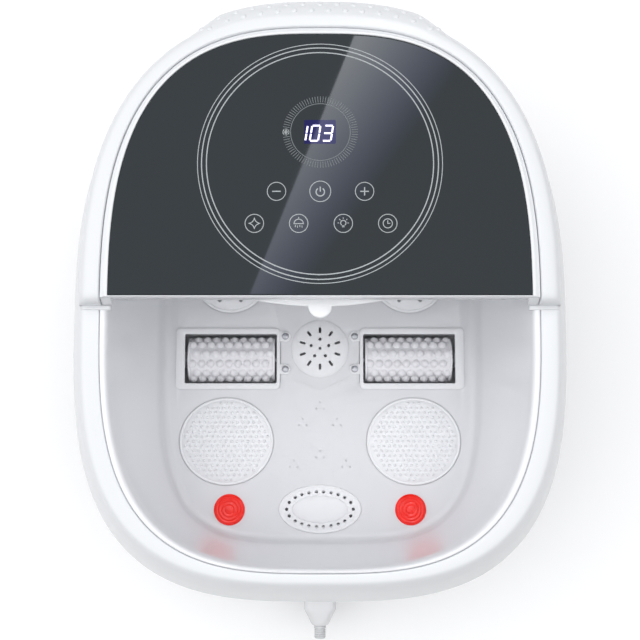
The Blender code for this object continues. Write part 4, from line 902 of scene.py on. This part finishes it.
def make_panel_tray():
    """The tray under the dark panel, whose crowned white bezel shows round it."""
    half_x, rear = PANEL_SEAM_X - 0.0006, PANEL_SEAM_REAR - 0.0006
    ledge_x, ledge_rear = PANEL_HALF_X + 0.0003, PANEL_REAR + 0.0003
    edge = COVER_FRONT_Y
    strip = 0.0013
    ledge_z = PANEL_TOP - PANEL_T - 0.0003
    rings = [cover_ring(half_x - 0.0014, rear - 0.0014, edge + 0.0009, COVER_LOW),
             cover_ring(half_x - 0.0004, rear - 0.0004, edge + 0.0003, COVER_LOW + 0.0005),
             cover_ring(half_x, rear, edge, COVER_LOW + 0.0016),
             cover_ring(half_x, rear, edge, COVER_TOP - 0.0030)]
    crown = [(0.0, -0.0026), (0.03, -0.0021), (0.08, -0.0019), (0.55, -0.0002), (0.62, -0.00005),
             (0.70, 0.0), (0.80, 0.0), (0.93, -0.0001), (0.98, -0.0003), (1.0, -0.0006)]
    for share, depth in crown:
        rings.append(cover_ring(half_x + (ledge_x - half_x) * share, rear + (ledge_rear - rear) * share,
                                edge + strip * share, COVER_TOP + depth,
                                PANEL_SEAM_N + (PANEL_N - PANEL_SEAM_N) * share))
    for inset, front, z in ((0.0, strip, ledge_z), (0.003, 0.004, ledge_z),
                            (0.003, 0.004, COVER_LOW + 0.002)):
        rings.append(cover_ring(ledge_x - inset, ledge_rear - inset, edge + front, z, PANEL_N))
    piece("panel_tray_bezel", ringed(rings), BEZEL, "panel_tray", sharp=40)
    back, front = edge + 0.0010, HOUSING_FRONT_Y + 0.0004
    low = COVER_LOW
    side_profile = [(back, low - 0.0002), (front + 0.0005, low - 0.0002), (front, low + 0.0003),
                    (front, low + 0.0030), (front + 0.0004, low + 0.0052), (front + 0.0014, low + 0.0075),
                    (front + 0.0030, COVER_TOP - 0.0052), (back, COVER_TOP - 0.0040)]
    for side, label in SIDES:
        rings = [[(side * x, y + (inset if y < back else 0), z - (inset if z > low else 0))
                  for y, z in side_profile]
                 for x, inset in ((0.1490, 0.0004), (0.1493, 0.0), (0.1561, 0.0), (0.1564, 0.0004))]
        piece(f"panel_tray_foot_{label}", ringed(rings), WHITE, sharp=40)


def make_panel():
    """The dark glossy panel, with softened edges."""
    edge = COVER_FRONT_Y + 0.0016
    levels = [(0.0, PANEL_T), (0.0, 0.0004), (0.00012, 0.00012), (0.0004, 0.0), (0.0008, 0.0)]
    rings = [cover_ring(PANEL_HALF_X - i, PANEL_REAR - i, edge + i, PANEL_TOP - depth, PANEL_N, 240)
             for i, depth in levels]
    piece("control_panel_gloss", ringed(rings), PANEL, "control_panel", sharp=50)


def add_ribbon(bm, points, width, low, high, closed=False):
    """A flat printed stroke of even width along points, as a thin closed solid."""
    count = len(points)
    rows = []
    for i, point in enumerate(points):
        before = Vector(points[i - 1]) if (i or closed) else None
        after = Vector(points[(i + 1) % count]) if (i < count - 1 or closed) else None
        here = Vector(point)
        first = (here - before).normalized() if before is not None else (after - here).normalized()
        second = (after - here).normalized() if after is not None else first
        middle = (first + second).normalized()
        side = Vector((-middle.y, middle.x))
        stretch = min(2.0, 1 / max(0.3, middle.dot(first)))
        left, right = here + side * width / 2 * stretch, here - side * width / 2 * stretch
        corners = ((left, low), (left, high), (right, high), (right, low))
        rows.append([bm.verts.new((p.x, p.y, z)) for p, z in corners])
    pairs = list(zip(rows, rows[1:]))
    if closed:
        pairs.append((rows[-1], rows[0]))
    for a, b in pairs:
        for k in range(4):
            j = (k + 1) % 4
            bm.faces.new((a[k], a[j], b[j], b[k]))
    if not closed:
        bm.faces.new(rows[0])
        bm.faces.new(rows[-1])


def circle(cx, cy, radius, count=48, start=0.0, end=360.0, squash=1.0):
    """Points on a circle or arc; the last point is left off a full circle."""
    full = abs(end - start) >= 360
    step = math.radians(end - start) / (count if full else count - 1)
    angles = [math.radians(start) + step * k for k in range(count)]
    return [(cx + radius * math.cos(a), cy + radius * squash * math.sin(a)) for a in angles]


PRINT_LOW, PRINT_HIGH = PANEL_TOP - 0.0001, PANEL_TOP + 0.00005
RINGS_Y = 0.1192                    # middle of the three large printed rings
DIAL_X, DIAL_Y, DIAL_SQUASH = 0.0003, 0.1415, 0.975


def stroke(bm, points, width=0.0007, closed=False):
    add_ribbon(bm, points, width, PRINT_LOW, PRINT_HIGH, closed)


def make_prints():
    """Printed rings, the tick ring, the key circles and their symbols."""
    bm = bmesh.new()
    for radius, width in mm([(87.9, 0.55), (85, 0.78), (81.5, 0.78)]):
        stroke(bm, circle(0, RINGS_Y, radius, 180), width, True)
    piece("panel_print_rings", bm, PRINT)
    bm = bmesh.new()
    stroke(bm, circle(DIAL_X, DIAL_Y, 0.0215, 120, squash=DIAL_SQUASH), 0.0005, True)
    ticks = 84
    for k in range(ticks):
        x, y = math.cos(2 * math.pi * k / ticks), DIAL_SQUASH * math.sin(2 * math.pi * k / ticks)
        stroke(bm, [(DIAL_X + r * x, DIAL_Y + r * y) for r in (0.0225, 0.0271)], 0.00042)
    piece("panel_print_dial", bm, PRINT_DIM)
    bm = bmesh.new()
    stroke(bm, circle(-0.0245, DIAL_Y, 0.0022, 32), 0.0005, True)
    stroke(bm, circle(-0.0245, DIAL_Y, 0.0008, 20), 0.0009, True)
    y = 0.0979
    minus, power, plus = -0.0311, 0.0002, 0.0319
    for x, radius in ((minus, 0.0066), (power, 0.0075), (plus, 0.0066)):
        stroke(bm, circle(x, y, radius, 56), 0.00055, True)
    bar, gap = 0.0031, 0.0005
    for line in ([(minus - bar, y), (minus + bar, y)], [(plus - bar, y), (plus + bar, y)],
                 [(plus, y + gap), (plus, y + bar)], [(plus, y - gap), (plus, y - bar)],
                 circle(power, y - 0.0004, 0.0030, 28, 125, 415),
                 [(power, y - 0.0002), (power, y + 0.0034)]):
        stroke(bm, line, 0.0008)
    keys = [(x, 0.0746) for x in (-0.0468, -0.0152, 0.0166, 0.0483)]
    for key in keys:
        stroke(bm, circle(*key, 0.0066, 56), 0.00055, True)
    for make_symbol, key in zip((make_star, make_shower_symbol, make_bulb, make_clock), keys):
        make_symbol(bm, *key)
    piece("panel_print_keys", bm, PRINT)


def make_star(bm, cx, cy):
    """A four-pointed star with hollowed sides."""
    points = []
    for k in range(4):
        tip, following = (Vector((math.cos(a), math.sin(a))) for a in (math.radians(90 * k),
                                                                       math.radians(90 * k + 90)))
        inner = (tip + following) * 0.17
        for step in range(5):
            t = step / 5
            points.append(tip * (1 - t) ** 2 + inner * 2 * t * (1 - t) + following * t * t)
    stroke(bm, [(cx + p.x * 0.0039, cy + p.y * 0.0039) for p in points], 0.0006, True)


def make_shower_symbol(bm, cx, cy):
    """A dome with drops falling from it."""
    stroke(bm, circle(cx, cy - 0.0002, 0.0033, 17, 0, 180), 0.0006, True)
    for k, x in enumerate((-0.0023, -0.0008, 0.0008, 0.0023)):
        top = cy - 0.0011 - (0.0004 if k % 2 else 0.0)
        stroke(bm, [(cx + x, top), (cx + x * 1.08, top - 0.0016)], 0.0005)
    stroke(bm, [(cx, cy + 0.0036), (cx, cy + 0.0046)], 0.0006)


def make_bulb(bm, cx, cy):
    """A bulb with rays."""
    cy_glass = cy + 0.0003
    stroke(bm, circle(cx, cy_glass, 0.0019, 24, -55, 235), 0.0006)
    for dy in (-0.0017, -0.0025):
        stroke(bm, [(cx - 0.0009, cy + dy), (cx + 0.0009, cy + dy)], 0.0005)
    for angle in (0, 45, 90, 135, 180):
        a = math.radians(angle)
        stroke(bm, [(cx + r * math.cos(a), cy_glass + r * math.sin(a)) for r in (0.0029, 0.0041)], 0.0005)


def make_clock(bm, cx, cy):
    """A clock face with two hands."""
    stroke(bm, circle(cx, cy, 0.0033, 32), 0.0006, True)
    stroke(bm, [(cx, cy + 0.0022), (cx, cy), (cx + 0.0018, cy)], 0.0006)


SEGMENTS = {"1": "bc", "0": "abcdef", "3": "abgcd"}     # which bars of a seven-bar digit are lit
SEGMENT_ENDS = {  # in half widths and half heights of a digit
    "a": ((-1, 1), (1, 1)), "b": ((1, 1), (1, 0)), "c": ((1, 0), (1, -1)), "d": ((-1, -1), (1, -1)),
    "e": ((-1, 0), (-1, -1)), "f": ((-1, 1), (-1, 0)), "g": ((-1, 0), (1, 0)),
}


def make_display():
    """The dark blue window of the display and its slanted seven-bar number."""
    low_y = 0.1406
    ring = rounded_rectangle(0, low_y + 0.0010, 0.0114, 0.0088, 0.0008)
    piece("display_window", ringed(raised(ring, PRINT_LOW, PRINT_HIGH)), SCREEN)
    half_w, half_h, thick, slant = 0.0030, 0.0056, 0.00125, 0.16
    gap, taper = 0.0004, 0.0005
    bm = bmesh.new()
    for digit, middle in (("1", -0.0127), ("0", -0.0035), ("3", 0.0056)):
        for name in SEGMENTS[digit]:
            start, end = (Vector((x * half_w, y * half_h)) for x, y in SEGMENT_ENDS[name])
            way = (end - start).normalized()
            start, end = start + way * gap, end - way * gap
            points = [(middle + p.x + slant * p.y, low_y + p.y)
                      for p in (start, start + way * taper, end - way * taper, end)]
            add_ribbon(bm, points, thick, PRINT_LOW, PRINT_HIGH + 0.00004)
    piece("display_digits", bm, DIGIT)


# ---------------------------------------------------------------- spray bar
def make_shower():
    """The spray bar: a tube with collars and nozzles, and the crescent lip and finger tab it tilts by."""
    centre_y, centre_z, radius, inner = 0.036, 0.187, 0.008, 0.0062
    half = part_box("shower_bar")[1].x
    profile = [(inner, half), (radius - 0.0003, half), (radius, half - 0.0004), (radius, -half + 0.0005),
               (radius - 0.0005, -half), (0, -half), (0, -half + 0.002), (inner, -half + 0.002)]
    bm = turned(profile, at(0, centre_y, centre_z, "X"), 44, closed=True)
    bar = piece("shower_bar_detailed", bm, FITTING, "shower_bar", "shower", sharp=40)
    lip_z, lip_t, edge = centre_z + 0.0030, 0.0024, 0.0006
    reach = 0.047

    def lip(inset, z):
        front = [(reach * s, 0.0182 + 0.0045 * s * s) for s in (k / 12 for k in range(-12, 13))]
        ring = [(-reach + inset, centre_y - 0.0060, z), (reach - inset, centre_y - 0.0060, z)]
        return ring + [(x * (1 - inset / reach), y + inset, z) for x, y in reversed(front)]

    top = lip_z + lip_t
    join(bar, ringed([lip(edge, lip_z), lip(edge * 0.3, lip_z + edge * 0.3), lip(0, lip_z + edge),
                      lip(0, top - edge), lip(edge * 0.3, top - edge * 0.3), lip(edge, top)]), 40)
    tab_r, tab_low = 0.0087, lip_z - 0.0003
    top += 0.0003
    profile = [(0, top), (tab_r - 0.0016, top), (tab_r - 0.0005, top - 0.0003), (tab_r, top - 0.0010),
               (tab_r, lip_z + 0.0006), (tab_r - 0.0007, tab_low), (0, tab_low)]
    join(bar, turned(profile, at(0, 0.0185, 0), 56), 40)
    places = [at(side * (0.022 + 0.020 * k), centre_y, centre_z) for side in (-1, 1) for k in range(4)]
    nozzles, holes = bmesh.new(), bmesh.new()
    for place in places:
        add_cylinder(nozzles, 0.0024, -radius - 0.0001, -radius + 0.001, place, 20, 0.0030)
        add_cylinder(holes, 0.0009, -radius - 0.002, -radius + 0.004, place, 12)
    join(bar, nozzles, 40)
    cut(bar, holes, 40)


# ---------------------------------------------------------------- drain spout, plug and gland
def make_drain():
    """The clear tapering spout at the foot of the front wall, and the ribbed plug in its end."""
    low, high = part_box("drain_spout")
    middle, half = box_of("drain_spout")
    half_x, half_z = half.x, half.z
    bore = 0.0042
    sections = [(high.y, half_x - 0.0003, half_z - 0.0003, 4.5), (-0.2050, half_x, half_z, 4.5),
                (-0.2170, half_x, half_z, 4.4), (-0.2190, half_x - 0.0001, half_z, 4.2),
                (-0.2207, half_x - 0.0009, half_z - 0.0003, 3.9), (-0.2240, 0.0110, 0.0094, 3.3),
                (-0.2275, 0.0093, 0.0082, 2.8), (-0.2305, 0.0080, 0.0075, 2.3),
                (-0.2322, 0.0068, 0.0066, 2.0), (low.y, 0.0056, 0.0056, 2.0),
                (low.y + 0.0002, bore, bore, 2.0), (high.y, bore, bore, 2.0)]
    angles = [2 * math.pi * k / 72 for k in range(72)]
    rings = [[(rx * signed_power(math.cos(a), 2 / n), y, middle.z + rz * signed_power(math.sin(a), 2 / n))
              for a in angles] for y, rx, rz, n in sections]
    piece("drain_spout_clear", ringed(rings, joined=True), CLEAR, "drain_spout", sharp=30)
    tip, neck = -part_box("drain_plug")[0].y, 0.2333
    profile = [(0, -0.2170), (0.0034, -0.2170), (0.0038, -0.2174), (0.0038, -0.2210), (0.0028, -0.2212),
               (0.0028, -0.2223), (0.0038, -0.2225), (0.0038, -neck), (0.0047, -neck),
               (0.0050, -neck - 0.0003), (0.0050, -0.2352), (0.0043, -0.2358)]
    y = 0.2362
    while y < tip - 0.0016:
        profile += [(0.0042, -y), (0.0049, -y - 0.0004), (0.0049, -y - 0.0009), (0.0042, -y - 0.0013)]
        y += 0.0018
    profile += [(0.0044, -tip + 0.0005), (0.0040, -tip), (0, -tip)]
    bm = turned(profile, at(0, 0, middle.z, "Y"), 40)
    piece("drain_plug_ribbed", bm, PLUG, "drain_plug", "drain_closure", sharp=30)


def make_gland():
    """The socket in the rear wall for the mains lead: a flanged collar with a stepped, grooved mouth."""
    middle, _ = box_of("mains_gland")
    wall_y = 0.2305
    profile = mm([(3.4, 9.7), (3.7, 10), (5.6, 10), (6, 9.6), (6.4, 9), (6, 8.6), (6.8, 8.2), (7.2, 7.6),
                  (6.8, 7.2), (8.2, 6.6), (9.2, 6.2), (9.5, 5.7), (9.5, 4.7), (7, 4.6), (7, -9.5),
                  (6.6, -10), (3.8, -10), (3.4, -9.7)])
    bm = turned(profile, at(middle.x, wall_y, middle.z, "Y"), 44, closed=True)
    piece("mains_gland_grooved", bm, GREY, "mains_gland", sharp=30)


# ---------------------------------------------------------------- floor, backdrop and softbox
SKY_LEVEL = 1.42                    # the sky's own strength where the softbox fades out


def stage_piece(name, bm, look, z, unseen):
    """A sheet of the studio, hidden from the named kinds of ray."""
    mesh = mesh_from(name, bm)
    mesh.materials.append(look)
    sheet = bpy.data.objects.new(name, mesh)
    sheet.location.z = z
    for kind in unseen.split():
        setattr(sheet, "visible_" + kind, False)
    scene.collection.objects.link(sheet)


def floor_sheet():
    bm = bmesh.new()
    bmesh.ops.create_grid(bm, x_segments=1, y_segments=1, size=6.0)
    return bm


def make_stage():
    """The pale floor, its duller twin that lights the object from below, a backdrop and a softbox."""
    stage_piece("floor", floor_sheet(), FLOOR, -0.0005, "diffuse shadow")
    stage_piece("floor_bounce", floor_sheet(), BOUNCE, -0.0007, "camera glossy transmission shadow")
    wall = ringed([ellipse(0, 0, 5.9, 5.9, z) for z in (-0.001, 5.0)], caps=False)
    stage_piece("backdrop", wall, plain_glow("backdrop_glow"), 0, "diffuse glossy transmission shadow")
    top_z, mirror_z = 1.6, 2 * PANEL_TOP - EYE.z
    spread = (top_z - mirror_z) / (PANEL_TOP - mirror_z)

    def overhead(x, y):
        """Where the panel mirrors its point (x, y) to, seen from the camera."""
        image = Vector((EYE.x, EYE.y, 0))
        return image + (Vector((x, y, 0)) - image) * spread

    start, end = overhead(0.0249, 0.2135), overhead(-0.0494, 0.024)
    up_line = (start - end).normalized()
    across = Vector((up_line.y, -up_line.x, 0)) * 0.44
    start, end = start + up_line * 0.20, end - up_line * 0.20
    fade_top, fade_low = overhead(0.1029, 0.1906), overhead(-0.0106, 0.0266)
    fade_line = (fade_top - fade_low).normalized()
    bm = bmesh.new()
    bm.faces.new([bm.verts.new(p) for p in (end, start, start + across, end + across)])
    glow = fading_glow("softbox_glow", fade_low, Vector((-fade_line.y, fade_line.x, 0)), 0.0709 * spread)
    stage_piece("softbox", bm, glow, top_z, "camera diffuse transmission shadow")


def plain_glow(name):
    """An even white glow."""
    made = bpy.data.materials.new(name)
    made.use_nodes = True
    tree = made.node_tree
    tree.nodes.clear()
    glow = node(tree, "ShaderNodeEmission")
    out = node(tree, "ShaderNodeOutputMaterial")
    tree.links.new(glow.outputs[0], out.inputs["Surface"])
    return made


def fading_glow(name, zero_at, towards, reach):
    """A glow that grows in a direction, from the sky's own level to its full level at a reach."""
    made = plain_glow(name)
    tree = made.node_tree
    place = node(tree, "ShaderNodeTexCoord")
    along = node(tree, "ShaderNodeVectorMath", operation="DOT_PRODUCT")
    along.inputs[1].default_value = towards
    tree.links.new(place.outputs["Object"], along.inputs[0])
    near = zero_at.dot(towards)
    span = ramp(tree, along.outputs["Value"], near, near + reach, 0.0, 1.0)
    joined = node(tree, "ShaderNodeCombineXYZ")
    for axis, full, power in (("X", 5.2, 1.35), ("Y", 5.45, 1.35), ("Z", 5.8, 1.05)):
        level = maths(tree, "MULTIPLY_ADD", maths(tree, "POWER", span, power), full, SKY_LEVEL)
        tree.links.new(level, joined.inputs[axis])
    tree.links.new(joined.outputs[0], tree.nodes["Emission"].inputs["Color"])
    return made


def paint_nodes():
    """Gives each CAD node that still shows its finish."""
    for look, names in (
            (RUBBER, "shaft_seal_left shaft_seal_right drain_seal"),
            (STEEL, "roller_shaft motor_shaft impeller_shaft pump_motor heater"),
            (FITTING, "drive_gear shower_bracket_left shower_bracket_right shower_elbow"),
            (BRASS, "motor_pinion"),
            (GREY, "roller_motor pump_volute pump_impeller display_module"),
            (HOSE, "intake_hose heater_hose feed_hose drain_tube"),
            (BOARD, "touch_board mains_board lamp_board_left lamp_board_right")):
        for name in names.split():
            for slot in nodes[name].material_slots:
                slot.material = look


make_stage()
make_casing()
make_tub()
make_base()
make_screws()
make_rollers()
make_strainer()
make_discs()
make_lamps()
make_drain_cover()
make_rear_housing()
make_panel_tray()
make_panel()
make_prints()
make_display()
make_shower()
make_drain()
make_gland()
paint_nodes()
